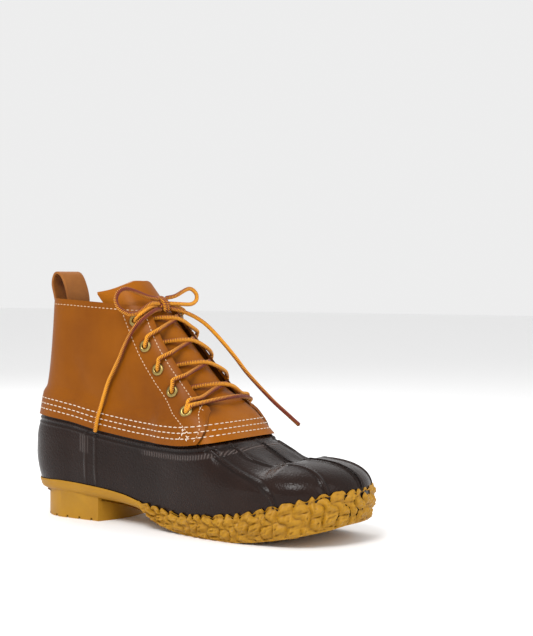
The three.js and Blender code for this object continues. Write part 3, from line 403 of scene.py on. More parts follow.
    def radius(self, st: np.ndarray, z: np.ndarray) -> np.ndarray:
        """Distance from the spine at the widest line, for rows of stations and columns of heights."""
        x, side, end, angle = (st[:, n][:, None] for n in range(4))
        width = self.half(x, side) + 0 * z
        share = z / self.collar
        waist = 1 - self.waist * smooth(0.35, 0.6, share) * (1 - smooth(0.7, 1.05, share))
        back = self.back_lean * between(self.backs, share)
        heel = self.oval(angle, self.heel_centre - back, width * waist, self.heel_oval)
        toe = self.oval(angle, self.toe_round, width, self.toe_oval)
        return np.where(end < 0, heel, np.where(end > 0, toe, width * waist))

    def station_floor(self, st: np.ndarray) -> np.ndarray:
        """Height of the floor under each station's rim."""
        return self.floor(st[:, 0] + st[:, 2] * np.cos(st[:, 3]) * self.toe_round * 0.8)

    def rim_place(self, st: np.ndarray) -> np.ndarray:
        """The x of each station's rim."""
        reach = np.where(st[:, 2] < 0, self.heel_centre, self.toe_round)
        return st[:, 0] + st[:, 2] * np.cos(st[:, 3]) * reach

    def side_radius(self, st: np.ndarray, z: np.ndarray) -> np.ndarray:
        """Distance from the spine to the side at heights up to the widest line."""
        floor = self.station_floor(st)[:, None]
        wide = self.widest(st[:, 0])[:, None]
        height = np.maximum(z, floor)
        down = np.maximum(0, (wide - height) / (wide - floor))
        return self.radius(st, height) * (1 - self.tuck * down * down)

    def place(self, st: np.ndarray, radius: np.ndarray, z: np.ndarray) -> np.ndarray:
        """Points at distances from the spine, for rows of stations and columns of heights."""
        x, side, end, angle = (st[:, n][:, None] for n in range(4))
        return np.stack([x + radius * end * np.cos(angle), radius * side * np.sin(angle) + 0 * z, z + 0 * radius],
                        axis=2)

    def profiles(self, st: np.ndarray, lower: int, upper: int, band: float) -> tuple[np.ndarray, np.ndarray]:
        """Half sections, with one row along the top of the seam's band.

        Args:
            st: the stations.
            lower: rows below that line.
            upper: rows above it.
            band: the line's height over the seam.

        Returns:
            Distances from the spine and heights, a row for each station.
        """
        fine = 90
        floor = self.station_floor(st)[:, None]
        wide = self.widest(st[:, 0])[:, None]
        crown = self.crown(st[:, 0])[:, None]
        power = self.power(st[:, 0])[:, None]
        t = np.linspace(0, 1, fine)[None, :]
        low_z = floor + (wide - floor) * t
        low_r = self.side_radius(st, low_z)
        top = np.minimum(crown, self.top)
        last = np.arcsin(np.clip(((top - wide) / (crown - wide)) ** (power / 2), 0, 1))
        angle = last * np.linspace(0, 1, 2 * fine)[None, 1:]
        high_z = wide + (crown - wide) * np.sin(angle) ** (2 / power)
        high_r = self.radius(st, high_z) * np.clip(np.cos(angle), 0, 1) ** (2 / power)
        r = np.hstack([low_r, high_r])
        z = np.hstack([low_z, high_z])
        run = np.hstack([np.zeros((len(st), 1)), np.cumsum(np.hypot(np.diff(r), np.diff(z)), axis=1)])
        level = self.seam(self.rim_place(st)) + band
        rows_r, rows_z = [], []
        for k in range(len(st)):
            whole = run[k, -1]
            at = int(np.argmax(z[k] >= level[k])) if (z[k] >= level[k]).any() else 0
            reached = run[k, at] - (z[k, at] - level[k]) if at > 0 else whole
            turn = min(reached, 0.7 * whole)
            wanted = np.concatenate([np.linspace(0, turn, lower + 1), np.linspace(turn, whole, upper + 1)[1:]])
            rows_r.append(np.interp(wanted, run[k], r[k]))
            rows_z.append(np.interp(wanted, run[k], z[k]))
        return np.array(rows_r), np.array(rows_z)

    def solid(self, sides: tuple[int, int, int], lower: int, upper: int, band: float) -> bpy.types.Mesh:
        """The form as a closed mesh.

        Args:
            sides: steps along a side, round half the heel and round half the toe.
            lower: rows below the seam's band.
            upper: rows above it.
            band: the seam band's height.

        Returns:
            The closed mesh, in millimetres.
        """
        st = self.stations(*sides)
        r, z = self.profiles(st, lower, upper, band)
        spine_floor = self.floor(st[:, 0])[:, None]
        caps = 8
        share = np.linspace(0, 1, caps, endpoint=False)[None, :]
        bottom_r = r[:, :1] * share
        bottom_z = spine_floor + (z[:, :1] - spine_floor) * share
        top_r = r[:, -1:] * share[:, ::-1]
        r = np.hstack([bottom_r, r, top_r])
        z = np.hstack([bottom_z, z, np.repeat(z[:, -1:], caps, axis=1)])
        places = self.place(st, r, z)
        places = np.concatenate([places, places[:1]], axis=0)
        return Sheet.mesh("form", places)

    def form_half(self, x: np.ndarray, z: np.ndarray, side: np.ndarray) -> np.ndarray:
        """Half of the width at heights, with the curve over to the crown."""
        st = np.stack([x, side, 0 * x, 0 * x + math.pi / 2], axis=1)
        base = self.radius(st, z[:, None])[:, 0]
        wide = self.widest(x)
        share = np.clip((z - wide) / (self.crown(x) - wide), 0, 1)
        power = self.power(x)
        return base * (1 - share**power) ** (1 / power)

    def throat_points(self, along: np.ndarray, y: np.ndarray) -> np.ndarray:
        """Points of the form over the throat.

        Args:
            along: lengths along the throat, towards the toe.
            y: the sideways places.

        Returns:
            The points, a row for each pair.
        """
        along, y = np.broadcast_arrays(np.atleast_1d(np.asarray(along, float)), np.atleast_1d(np.asarray(y, float)))
        low, high = np.full(len(y), -45.0), np.full(len(y), 4.0)
        base = self.instep_point + self.along * along[:, None]
        side = np.where(y < 0, -1, 1)
        for _ in range(24):
            middle = (low + high) / 2
            p = base + self.out * middle[:, None]
            inside = (p[:, 2] < self.crown(p[:, 0])) & (self.form_half(p[:, 0], p[:, 2], side) > np.abs(y))
            low, high = np.where(inside, middle, low), np.where(inside, high, middle)
        p[:, 1] = y
        return p

    def throat(self, along: float, y: float, lift: float) -> tuple[np.ndarray, np.ndarray]:
        """A point over the throat.

        Args:
            along: length along the throat, towards the toe.
            y: the sideways place.
            lift: height off the form.

        Returns:
            The point and the form's normal there.
        """
        step = 0.6
        p = self.throat_points(along + step * np.array([0, 0, 0, 1, -1]), y + step * np.array([0, 1, -1, 0, 0]))
        normal = np.cross(p[1] - p[2], p[3] - p[4])
        normal /= np.linalg.norm(normal)
        if normal @ self.out < 0:
            normal = -normal
        return p[0] + normal * lift, normal

    def walk(self, along: float, start: float, side: int, distance: float) -> float:
        """The sideways place reached by walking over the form, away from the middle.

        Args:
            along: length along the throat.
            start: where the walk starts, from the middle.
            side: the side of the foot.
            distance: how far it goes.

        Returns:
            The place's distance from the middle.
        """
        y = start + np.linspace(0, 1.2 * distance, 60)
        p = self.throat_points(along, side * y)
        run = np.concatenate([[0], np.cumsum(np.linalg.norm(np.diff(p, axis=0), axis=1))])
        return float(np.interp(distance, run, y))


@dataclass
class Seams:
    """The leather's own lines on the last: its seam band, the throat's edges and the eyelets."""

    last: Last
    gap: float = 0.3
    leather: float = 2.0
    tongue_leather: float = 1.6
    band: float = 17.0
    step: float = 2.0
    overlap: float = 11.0
    rows: int = 5
    pitch: float = 22.0
    last_row: float = 35.0
    from_edge: float = 13.8
    throat_gap: float = 51.0
    depth: float = 5.9
    tongue_crown: float = 4.2
    edge_lateral: tuple = ((-1.0, 0.22), (0.3, 0.28), (1.0, 0.35), (2.0, 0.44), (3.0, 0.49), (4.0, 0.52),
                           (5.0, 0.54), (7.0, 0.55))
    edge_medial: tuple = ((-1.0, 0.16), (0.3, 0.19), (1.0, 0.235), (2.0, 0.305), (3.0, 0.37), (4.0, 0.43),
                          (5.0, 0.46), (7.0, 0.47))
    corner: tuple = ((0.52, -0.90), (0.86, -0.15), (1.20, 0.52), (1.34, 1.05), (1.18, 1.60), (0.72, 2.06))

    def over(self, p: np.ndarray) -> np.ndarray:
        """How high points lie over the leather's lower edge."""
        return p[:, 2] - self.last.seam(p[:, 0])

    def quarter_inside(self, p: np.ndarray) -> np.ndarray:
        """Distance of the quarters' inner face off the form."""
        length = self.last.length
        vamp = smooth(0.46 * length, 0.505 * length, p[:, 0]) * (self.tongue_leather + 3 * self.gap)
        fade_length = 7 + 4 * vamp
        fade = smooth(0, 1, (self.over(p) - self.band) / fade_length)
        return self.gap + vamp * (1 - fade) - self.step * fade

    def tongue_outside(self, p: np.ndarray) -> np.ndarray:
        """Distance of the tongue's outer face off the form."""
        width = self.last.half(p[:, 0], np.sign(p[:, 1]))
        sideways = smooth(0.45, 0.8, np.abs(p[:, 1]) / width)
        start = self.band + 3 * (1 - sideways)
        fade = smooth(0, 1, (self.over(p) - start) / (7 + 22 * (1 - sideways)))
        depth = self.depth - self.tongue_crown * (1 - smooth(0, 0.5 * self.throat_gap, np.abs(p[:, 1])))
        return (2 * self.gap + self.tongue_leather) * (1 - fade) - depth * fade

    def eyelet_along(self, row: float) -> float:
        """Length along the throat of an eyelet row, counted down from the top."""
        return -(self.last_row + self.pitch * (self.rows - row))

    def edge_half(self, along: float, side: int) -> float:
        """Distance of a quarter's edge from the middle."""
        row = self.rows + (along + self.last_row) / self.pitch
        return self.throat_gap * float(between(self.edge_lateral if side < 0 else self.edge_medial, row))

    def eyelet(self, row: int, side: int) -> tuple[np.ndarray, np.ndarray]:
        """An eyelet's centre on the leather's outer face, and the normal there."""
        along = self.eyelet_along(row)
        y = self.last.walk(along, self.edge_half(along, side), side, self.from_edge)
        point, normal = self.last.throat(along, side * y, 0)
        lift = float(self.quarter_inside(point[None, :])[0]) + self.leather
        return point + normal * lift, normal


class Patterns:
    """Shader node groups that several finishes share."""

    @staticmethod
    def _group(name: str, inputs: Sequence[tuple[str, str, float]], outputs: Sequence[tuple[str, str]]):
        """A new node group with named sockets."""
        tree = bpy.data.node_groups.new(name, "ShaderNodeTree")
        for label, kind, value in inputs:
            socket = tree.interface.new_socket(label, in_out="INPUT", socket_type=kind)
            if kind == "NodeSocketFloat":
                socket.default_value = value
        for label, kind in outputs:
            tree.interface.new_socket(label, in_out="OUTPUT", socket_type=kind)
        return tree, tree.nodes.new("NodeGroupInput"), tree.nodes.new("NodeGroupOutput")

    @staticmethod
    def grain() -> bpy.types.ShaderNodeTree:
        """Fine pebbles, faint clouds and scuffs for leather, rubber and gum.

        Returns:
            A group with the inputs Pebble and Cloud and the outputs Height, Clouds and Wear.
        """
        known = bpy.data.node_groups.get("surface_grain")
        if known:
            return known
        tree, inside, outside = Patterns._group(
            "surface_grain",
            [("Pebble", "NodeSocketFloat", 900.0), ("Cloud", "NodeSocketFloat", 25.0)],
            [("Height", "NodeSocketFloat"), ("Clouds", "NodeSocketFloat"), ("Wear", "NodeSocketFloat")],
        )
        place = tree.nodes.new("ShaderNodeTexCoord")
        cells = tree.nodes.new("ShaderNodeTexVoronoi")
        cells.feature = "SMOOTH_F1"
        fine = tree.nodes.new("ShaderNodeTexNoise")
        fine.inputs["Scale"].default_value = 420.0
        fine.inputs["Detail"].default_value = 4.0
        clouds = tree.nodes.new("ShaderNodeTexNoise")
        clouds.inputs["Detail"].default_value = 5.0
        clouds.inputs["Roughness"].default_value = 0.6
        wear = tree.nodes.new("ShaderNodeTexNoise")
        wear.inputs["Scale"].default_value = 90.0
        wear.inputs["Detail"].default_value = 6.0
        mix = tree.nodes.new("ShaderNodeMath")
        mix.operation = "MULTIPLY_ADD"
        mix.inputs[1].default_value = 0.5
        for node in (cells, fine, clouds, wear):
            tree.links.new(place.outputs["Object"], node.inputs["Vector"])
        tree.links.new(inside.outputs["Pebble"], cells.inputs["Scale"])
        tree.links.new(inside.outputs["Cloud"], clouds.inputs["Scale"])
        tree.links.new(fine.outputs["Fac"], mix.inputs[0])
        tree.links.new(cells.outputs["Distance"], mix.inputs[2])
        tree.links.new(mix.outputs[0], outside.inputs["Height"])
        tree.links.new(clouds.outputs["Fac"], outside.inputs["Clouds"])
        tree.links.new(wear.outputs["Fac"], outside.inputs["Wear"])
        return tree


Colour = tuple[float, float, float, float]


@dataclass(frozen=True)
class Finish:
    """A plain finish with a soft grain: light and dark colours that clouds mix, gloss and bump, and a colour of painted
    shade where the mesh's hollow attribute is on.
    """

    name: str
    slot: str
    light: Colour
    dark: Colour
    roughness: float
    pebble: float = 900.0
    cloud: float = 25.0
    bump: float = 0.15
    bump_distance: float = 0.0003
    metallic: float = 0.0
    coat: float = 0.0
    specular: float = 0.5
    # hollow: the colour of painted shade, mixed in where the mesh's hollow attribute is on
    hollow: Colour | None = None

    def material(self) -> bpy.types.Material:
        """The finish as a material, made once."""
        known = bpy.data.materials.get(self.name)
        if known:
            return known
        mat = bpy.data.materials.new(self.name)
        mat.use_nodes = True
        tree = mat.node_tree
        shader = tree.nodes["Principled BSDF"]
        shader.inputs["Roughness"].default_value = self.roughness
        shader.inputs["Metallic"].default_value = self.metallic
        shader.inputs["Coat Weight"].default_value = self.coat
        shader.inputs["Coat Roughness"].default_value = 0.25
        shader.inputs["Specular IOR Level"].default_value = self.specular
        grain = tree.nodes.new("ShaderNodeGroup")
        grain.node_tree = Patterns.grain()
        grain.inputs["Pebble"].default_value = self.pebble
        grain.inputs["Cloud"].default_value = self.cloud
        blend = tree.nodes.new("ShaderNodeMix")
        blend.data_type = "RGBA"
        blend.inputs["A"].default_value = self.dark
        blend.inputs["B"].default_value = self.light
        spread = tree.nodes.new("ShaderNodeMapRange")
        spread.inputs["From Min"].default_value = 0.3
        spread.inputs["From Max"].default_value = 0.7
        tree.links.new(grain.outputs["Clouds"], spread.inputs["Value"])
        tree.links.new(spread.outputs["Result"], blend.inputs["Factor"])
        colour = blend.outputs["Result"]
        # painted shade: the mesh's hollow attribute darkens the colour towards the hollow colour
        if self.hollow is not None:
            shade = tree.nodes.new("ShaderNodeAttribute")
            shade.attribute_name = "hollow"
            painted_shade_mix = tree.nodes.new("ShaderNodeMix")
            painted_shade_mix.data_type = "RGBA"
            painted_shade_mix.inputs["B"].default_value = self.hollow
            tree.links.new(shade.outputs["Fac"], painted_shade_mix.inputs["Factor"])
            tree.links.new(colour, painted_shade_mix.inputs["A"])
            colour = painted_shade_mix.outputs["Result"]
        tree.links.new(colour, shader.inputs["Base Color"])
        gloss = tree.nodes.new("ShaderNodeMapRange")
        gloss.inputs["From Min"].default_value = 0.3
        gloss.inputs["From Max"].default_value = 0.7
        gloss.inputs["To Min"].default_value = self.roughness - 0.06
        gloss.inputs["To Max"].default_value = self.roughness + 0.08
        tree.links.new(grain.outputs["Wear"], gloss.inputs["Value"])
        tree.links.new(gloss.outputs["Result"], shader.inputs["Roughness"])
        bump = tree.nodes.new("ShaderNodeBump")
        bump.inputs["Strength"].default_value = self.bump
        bump.inputs["Distance"].default_value = self.bump_distance
        tree.links.new(grain.outputs["Height"], bump.inputs["Height"])
        tree.links.new(bump.outputs["Normal"], shader.inputs["Normal"])
        return mat


@dataclass(frozen=True)
class RibbedRubber(Finish):
    """The shell's rubber, with fine upright ribs where the mesh's ribs attribute is on, their crests painted lighter as
    a highlight.
    """

    rib_pitch: float = 0.0013
    rib_highlight_colour: Colour = (0.075, 0.056, 0.050, 1.0)

    def material(self) -> bpy.types.Material:
        """The rubber as a material, made once."""
        known = bpy.data.materials.get(self.name)
        if known:
            return known
        mat = super().material()
        tree = mat.node_tree
        shader = tree.nodes["Principled BSDF"]
        place = tree.nodes.new("ShaderNodeTexCoord")
        wave = tree.nodes.new("ShaderNodeTexWave")
        wave.bands_direction = "X"
        wave.inputs["Scale"].default_value = 1 / (self.rib_pitch * 20) * math.pi
        ribs = tree.nodes.new("ShaderNodeAttribute")
        ribs.attribute_name = "ribs"
        height = tree.nodes.new("ShaderNodeMath")
        height.operation = "MULTIPLY"
        bump = tree.nodes.new("ShaderNodeBump")
        bump.inputs["Strength"].default_value = 0.9
        bump.inputs["Distance"].default_value = 0.0005
        before = shader.inputs["Normal"].links[0].from_socket
        plain = shader.inputs["Base Color"].links[0].from_socket
        # painted highlight: rib crests are mixed towards the lighter rib colour
        lit = tree.nodes.new("ShaderNodeMix")
        lit.data_type = "RGBA"
        lit.inputs["B"].default_value = self.rib_highlight_colour
        tree.links.new(height.outputs[0], lit.inputs["Factor"])
        tree.links.new(plain, lit.inputs["A"])
        tree.links.new(lit.outputs["Result"], shader.inputs["Base Color"])
        tree.links.new(place.outputs["Object"], wave.inputs["Vector"])
        tree.links.new(wave.outputs["Fac"], height.inputs[0])
        tree.links.new(ribs.outputs["Fac"], height.inputs[1])
        tree.links.new(height.outputs[0], bump.inputs["Height"])
        tree.links.new(before, bump.inputs["Normal"])
        tree.links.new(bump.outputs["Normal"], shader.inputs["Normal"])
        return mat


@dataclass(frozen=True)
class LaceBraid:
    """Round braided lace, half gold and half maroon with fine cross ribs."""

    name: str = "lace_braid"
    gold: Colour = (0.80, 0.315, 0.003, 1.0)
    maroon: Colour = (0.165, 0.017, 0.002, 1.0)
    rib_pitch: float = 1.3

    def material(self) -> bpy.types.Material:
        """The braid as a material, made once."""
        known = bpy.data.materials.get(self.name)
        if known:
            return known
        mat = bpy.data.materials.new(self.name)
        mat.use_nodes = True
        tree = mat.node_tree
        shader = tree.nodes["Principled BSDF"]
        shader.inputs["Roughness"].default_value = 0.72
        shader.inputs["Sheen Weight"].default_value = 0.03
        uv = tree.nodes.new("ShaderNodeUVMap")
        uv.uv_map = "along"
        split = tree.nodes.new("ShaderNodeSeparateXYZ")
        tree.links.new(uv.outputs["UV"], split.inputs["Vector"])

        def math_node(kind: str, a, b=None, c=None):
            """A math node whose inputs are sockets or numbers."""
            node = tree.nodes.new("ShaderNodeMath")
            node.operation = kind
            for slot, value in enumerate((a, b, c)):
                if value is None:
                    continue
                if isinstance(value, (int, float)):
                    node.inputs[slot].default_value = value
                else:
                    tree.links.new(value, node.inputs[slot])
            return node.outputs[0]

        run, turn = split.outputs["X"], split.outputs["Y"]
        phase = math_node("MULTIPLY_ADD", run, 0.006, turn)
        around = math_node("SINE", math_node("MULTIPLY", phase, 2 * math.pi))
        slant = math_node("ADD", math_node("MULTIPLY", run, 2 * math.pi / self.rib_pitch),
                          math_node("MULTIPLY", turn, 4 * math.pi))
        ribs = math_node("SINE", slant)
        side = math_node("ADD", math_node("MULTIPLY_ADD", ribs, 1.1, -0.08), math_node("MULTIPLY", around, 1.3))
        mask = tree.nodes.new("ShaderNodeMapRange")
        mask.inputs["From Min"].default_value = -0.25
        mask.inputs["From Max"].default_value = 0.25
        tree.links.new(side, mask.inputs["Value"])
        blend = tree.nodes.new("ShaderNodeMix")
        blend.data_type = "RGBA"
        blend.inputs["A"].default_value = self.maroon
        blend.inputs["B"].default_value = self.gold
        tree.links.new(mask.outputs["Result"], blend.inputs["Factor"])
        tree.links.new(blend.outputs["Result"], shader.inputs["Base Color"])
        bump = tree.nodes.new("ShaderNodeBump")
        bump.inputs["Strength"].default_value = 0.8
        bump.inputs["Distance"].default_value = 0.0004
        tree.links.new(ribs, bump.inputs["Height"])
        tree.links.new(bump.outputs["Normal"], shader.inputs["Normal"])
        return mat


# The hollow colours are painted shade, mixed in where each mesh's hollow attribute is on.
LEATHER = Finish("tan_leather", "leather", (0.252, 0.074, 0.002, 1), (0.175, 0.046, 0.001, 1), 0.40,
                 pebble=1500, cloud=14, bump=0.10, specular=0.11, hollow=(0.070, 0.022, 0.004, 1))
TONGUE_LEATHER = Finish("tongue_leather", "tongue", (0.33, 0.100, 0.002, 1), (0.230, 0.063, 0.001, 1), 0.42,
                        pebble=1500, cloud=16, bump=0.12, specular=0.11, hollow=(0.050, 0.014, 0.003, 1))
LOOP_LEATHER = Finish("loop_leather", "loop", (0.33, 0.120, 0.022, 1), (0.21, 0.068, 0.012, 1), 0.6,
                      pebble=900, cloud=30, bump=0.3, specular=0.2)
FLESH = Finish("flesh_side", "tongue", (0.085, 0.040, 0.018, 1), (0.050, 0.022, 0.010, 1), 0.9, pebble=1200,
               cloud=60, bump=0.4, specular=0.1)
RUBBER = RibbedRubber("shell_rubber", "shell", (0.0165, 0.0070, 0.0044, 1), (0.0080, 0.0033, 0.0021, 1), 0.26,
                      pebble=800, cloud=18, bump=0.6, specular=0.17, hollow=(0.005, 0.003, 0.002, 1))
GUM = Finish("sole_gum", "sole", (0.41, 0.205, 0.012, 1), (0.33, 0.152, 0.008, 1), 0.46, pebble=500, cloud=22,
             bump=0.15, specular=0.22, hollow=(0.12, 0.050, 0.004, 1))
BRASS = Finish("aged_brass", "brass", (0.42, 0.31, 0.10, 1), (0.20, 0.15, 0.055, 1), 0.34, pebble=700, cloud=200,
               bump=0.1, metallic=1.0)
THREAD = Finish("seam_thread", "leather", (0.78, 0.66, 0.54, 1), (0.62, 0.50, 0.39, 1), 0.75, pebble=2500,
                cloud=300, bump=0.3)
TAN_THREAD = Finish("tan_thread", "leather", (0.66, 0.47, 0.31, 1), (0.52, 0.34, 0.20, 1), 0.75, pebble=2500,
                    cloud=300, bump=0.3)
FOOTBED = Finish("footbed", "insole", (0.26, 0.17, 0.10, 1), (0.19, 0.12, 0.07, 1), 0.9, pebble=600, cloud=40,
                 bump=0.3)
BRAID = LaceBraid()


@dataclass
class Piece:
    """A finished piece and what it stands for."""

    name: str
    mesh: bpy.types.Mesh
    finish: Finish | LaceBraid
    slot: str
    replaces: tuple[str, ...] = ()
    sharp: float = 40.0

    def put(self) -> bpy.types.Object:
        """Moves the mesh to the part's frame and lets it ride on the boot.

        Returns:
            The object in the scene.
        """
        mesh = self.mesh
        places = to_row(Solid.coordinates(mesh))
        mesh.vertices.foreach_set("co", places.astype(np.float32).ravel())
        mesh.update()
        mesh.name = self.name
        mesh.materials.clear()
        mesh.materials.append(self.finish.material())
        mesh.shade_smooth()
        mesh.set_sharp_from_angle(angle=math.radians(self.sharp))
        piece = bpy.data.objects.new(self.name, mesh)
        bpy.context.scene.collection.objects.link(piece)
        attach(piece, ROOT)
        if self.replaces:
            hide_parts(*self.replaces)
        log.info("%s: %d points", self.name, len(mesh.vertices))
        return piece


@dataclass
class Upper:
    """The leather shaft, the tongue and the rubber shell, all cut from the last."""

    last: Last
    seams: Seams
    collar_fall: float = 0.06
    collar_medial: float = 0.09
    rubber_wall: float = 2.6
    tongue_behind: float = 28.0
    tongue_top: float = 186.5
    tongue_rows: tuple = ((-0.72, 0.270), (-0.62, 0.130), (-0.46, 0.050), (-0.22, 0.004), (0.0, 0.0),
                          (0.20, 0.006), (0.38, 0.050), (0.56, 0.110), (0.72, 0.160))
    ridges: tuple = (
        ((192, -41.5, 67), (195.9, -42.7, 64.1), (204.7, -43.1, 59.0), (218.3, -44.3, 52.1), (238.2, -47.0, 44.8),
         (248.7, -48.5, 40.2), (254.9, -49.7, 34.2), (256.6, -49.2, 26)),
        ((203, -29, 70), (209.3, -29.7, 65.5), (221.2, -30.6, 58.8), (233.9, -26.8, 53.6), (249, -25, 54.5),
         (264.8, -26.0, 54.6), (278.6, -29.1, 50.4), (285.3, -31.3, 44.4), (289.5, -29.6, 36)),
        ((206, 0, 70), (223.5, 0, 60.7), (238, 0, 54.2), (262, 0, 57.0), (280, 0, 54.5), (292, 0, 48),
         (298, 0, 38)),
    )
    strips: tuple = (((69.2, -34.5, 68), (69.0, -34.5, 26)), ((79.6, -34.5, 67), (79.6, -34.5, 25)))
    strip_lift: float = 0.8
    troughs: tuple = (
        (((95, -36, 150), (98, -37, 122), (106, -39, 96)), 8.0, 0.6),
        (((58, -33, 120), (66, -35, 104), (82, -37, 90)), 7.0, 0.5),
        (((120, -38, 118), (128, -40, 104), (142, -43, 92)), 7.0, 0.5),
        (((48, 32, 128), (70, 34, 112), (98, 37, 98)), 8.0, 0.6),
        (((104, 36, 140), (112, 38, 118), (124, 40, 100)), 7.0, 0.5),
    )

    def __post_init__(self) -> None:
        """Makes the dense forms that the pieces are cut from."""
        self.form = self.last.solid((104, 22, 30), 46, 52, self.seams.band)
        self.fine = self.last.solid((226, 44, 84), 112, 20, self.seams.band)
        self.inner_form = self.last.solid((50, 12, 16), 22, 24, self.seams.band)

    def offset(self, base: bpy.types.Mesh, distance: Shift) -> bpy.types.Mesh:
        """A form with its points moved out along their normals by a distance worked out from their place."""
        at = Solid.coordinates(base)
        return Solid.moved(base, at + Solid.normals(base) * distance(at)[:, None])

    def side_prism(self, outline: Sequence[tuple[float, float]]) -> bpy.types.Mesh:
        """A side outline drawn through the whole width."""
        reach = 2 * self.last.ball
        return Solid.prism([(x, -reach, z) for x, z in outline], Vector((0, 2 * reach, 0)))

    def seam_line(self, start: float, end: float, lift: float, steps: int = 60) -> list[tuple[float, float]]:
        """Points along the leather's lower edge."""
        return [(float(x), float(self.last.seam(x)) + lift) for x in np.linspace(start, end, steps + 1)]

    def level(self, level: float, z: float) -> tuple[float, float]:
        """The point of the side view at a level square to the throat and a height."""
        return ((level - self.last.out[2] * z) / self.last.out[0], z)

    def creases(self, p: np.ndarray) -> np.ndarray:
        """Soft troughs that wear leaves in the leather."""
        total = np.zeros(len(p))
        for line, width, depth in self.troughs:
            d = near_line(p, line)
            total -= depth * np.exp(-((d / width) ** 2)) - 0.45 * depth * np.exp(-(((d - 1.7 * width) / width) ** 2))
        return total

    def collar_cut(self) -> bpy.types.Mesh:
        """Everything above the collar's sloping plane."""
        size = 4 * self.last.collar
        bm = bmesh.new()
        bmesh.ops.create_cube(bm, size=size)
        base = self.last.collar + self.collar_fall * self.last.back_lean - self.collar_medial * self.last.heel_width / 2
        for v in bm.verts:
            v.co.z += size / 2
            v.co.z += base - self.collar_fall * v.co.x - self.collar_medial * v.co.y
        bmesh.ops.triangulate(bm, faces=bm.faces)
        mesh = bpy.data.meshes.new("collar_cut")
        bm.to_mesh(mesh)
        bm.free()
        return mesh

    def throat_cut(self) -> bpy.types.Mesh:
        """The gap between the quarters' edges, cut square to the throat."""
        s = self.seams
        runs = np.linspace(s.eyelet_along(-3), s.eyelet_along(s.rows + 2), 60)
        depth = 0.4 * self.last.ball
        corners = []
        for side in (-1, 1):
            line = [self.last.instep_point + self.last.along * a - self.last.out * depth
                    + np.array([0, side * s.edge_half(float(a), side), 0]) for a in runs]
            corners += line if side < 0 else line[::-1]
        return Solid.prism([tuple(c) for c in corners], Vector(self.last.out * 2 * depth))

    def quarter_outline(self) -> list[tuple[float, float]]:
        """Side outline of the quarters."""
        s = self.seams
        eyelet = s.eyelet(s.rows, -1)[0]
        rough = [(eyelet[0] + a * s.from_edge, 0, eyelet[2] - d * s.from_edge) for a, d in s.corner]
        low = [float(self.last.seam(np.array([p[0]]))[0]) for p in through(rough, 30)]
        rounded = [(float(p[0]), max(float(p[2]), z + 0.1)) for p, z in zip(through(rough, 30), low)][::-1]
        sky = 1.2 * self.last.collar
        back = -0.1 * self.last.length
        crown = float(self.last.out @ self.last.instep_point)
        return [*self.seam_line(back, rounded[0][0] - 1, 0), *rounded, self.level(crown + self.last.ball / 10, sky),
                (back, sky)]

    def shaft(self) -> Piece:
        """The quarters, round the back in one piece, with their eyelet holes."""
        s = self.seams
        outer = self.offset(self.form, lambda p: s.quarter_inside(p) + s.leather + self.creases(p))
        inner = self.offset(self.form, lambda p: s.quarter_inside(p) + 0.6 * self.creases(p))
        mesh = Solid.combine(outer, inner, Cut.TAKE_OFF)
        mesh = Solid.combine(mesh, self.side_prism(self.quarter_outline()), Cut.KEEP_INSIDE)
        mesh = Solid.combine(mesh, self.collar_cut(), Cut.TAKE_OFF)
        mesh = Solid.combine(mesh, self.throat_cut(), Cut.TAKE_OFF)
        for side in Side:
            for row in range(1, s.rows + 1):
                point, normal = s.eyelet(row, side.value)
                bm = bmesh.new()
                turn = Vector((0, 0, 1)).rotation_difference(Vector(normal)).to_matrix().to_4x4()
                bmesh.ops.create_cone(bm, cap_ends=True, segments=24, radius1=3.4, radius2=3.4, depth=14,
                                      matrix=Matrix.Translation(Vector(point)) @ turn)
                hole = bpy.data.meshes.new("hole")
                bm.to_mesh(hole)
                bm.free()
                mesh = Solid.combine(mesh, hole, Cut.TAKE_OFF)
        # painted shade: a dark ring round each eyelet where the leather meets its flange, and darker cut walls
        at = Solid.coordinates(mesh)
        ring = np.min([np.linalg.norm(at - s.eyelet(row, side.value)[0], axis=1)
                       for side in Side for row in range(1, s.rows + 1)], axis=0)
        Solid.paint(mesh, 0.5 * np.exp(-(((ring - 4.5) / 1.2) ** 2)), outer)
        self.shaft_tree = BVHTree.FromPolygons([v.co for v in mesh.vertices], [p.vertices for p in mesh.polygons])
        return Piece("shaft_quarters", mesh, LEATHER, "leather", ("leather_shaft",), 42)

    def tongue(self) -> Piece:
        """The tongue with the vamp plug at its base."""
        s = self.seams
        length = self.last.length
        crown = float(self.last.out @ self.last.instep_point)
        behind = crown - self.tongue_behind
        base = 0.562 * length
        turn = (behind - self.last.out[0] * base) / self.last.out[2]
        sky = 1.2 * self.last.collar
        front = 0.8 * length
        outline = [*self.seam_line(base, front, 0), (front, sky), self.level(behind, sky), (base, turn)]

        def hollow(p: np.ndarray) -> np.ndarray:
            """Soft hollows where the lace pulls the tongue in."""
            total = np.zeros(len(p))
            for row in range(2, s.rows + 1):
                centre = self.last.instep_point + self.last.along * (s.eyelet_along(row) + s.pitch * 0.45)
                along = (p - centre) @ self.last.along
                total -= 0.5 * np.exp(-((along / 5.0) ** 2)) * np.exp(-((p[:, 1] / 16.0) ** 2))
            return total

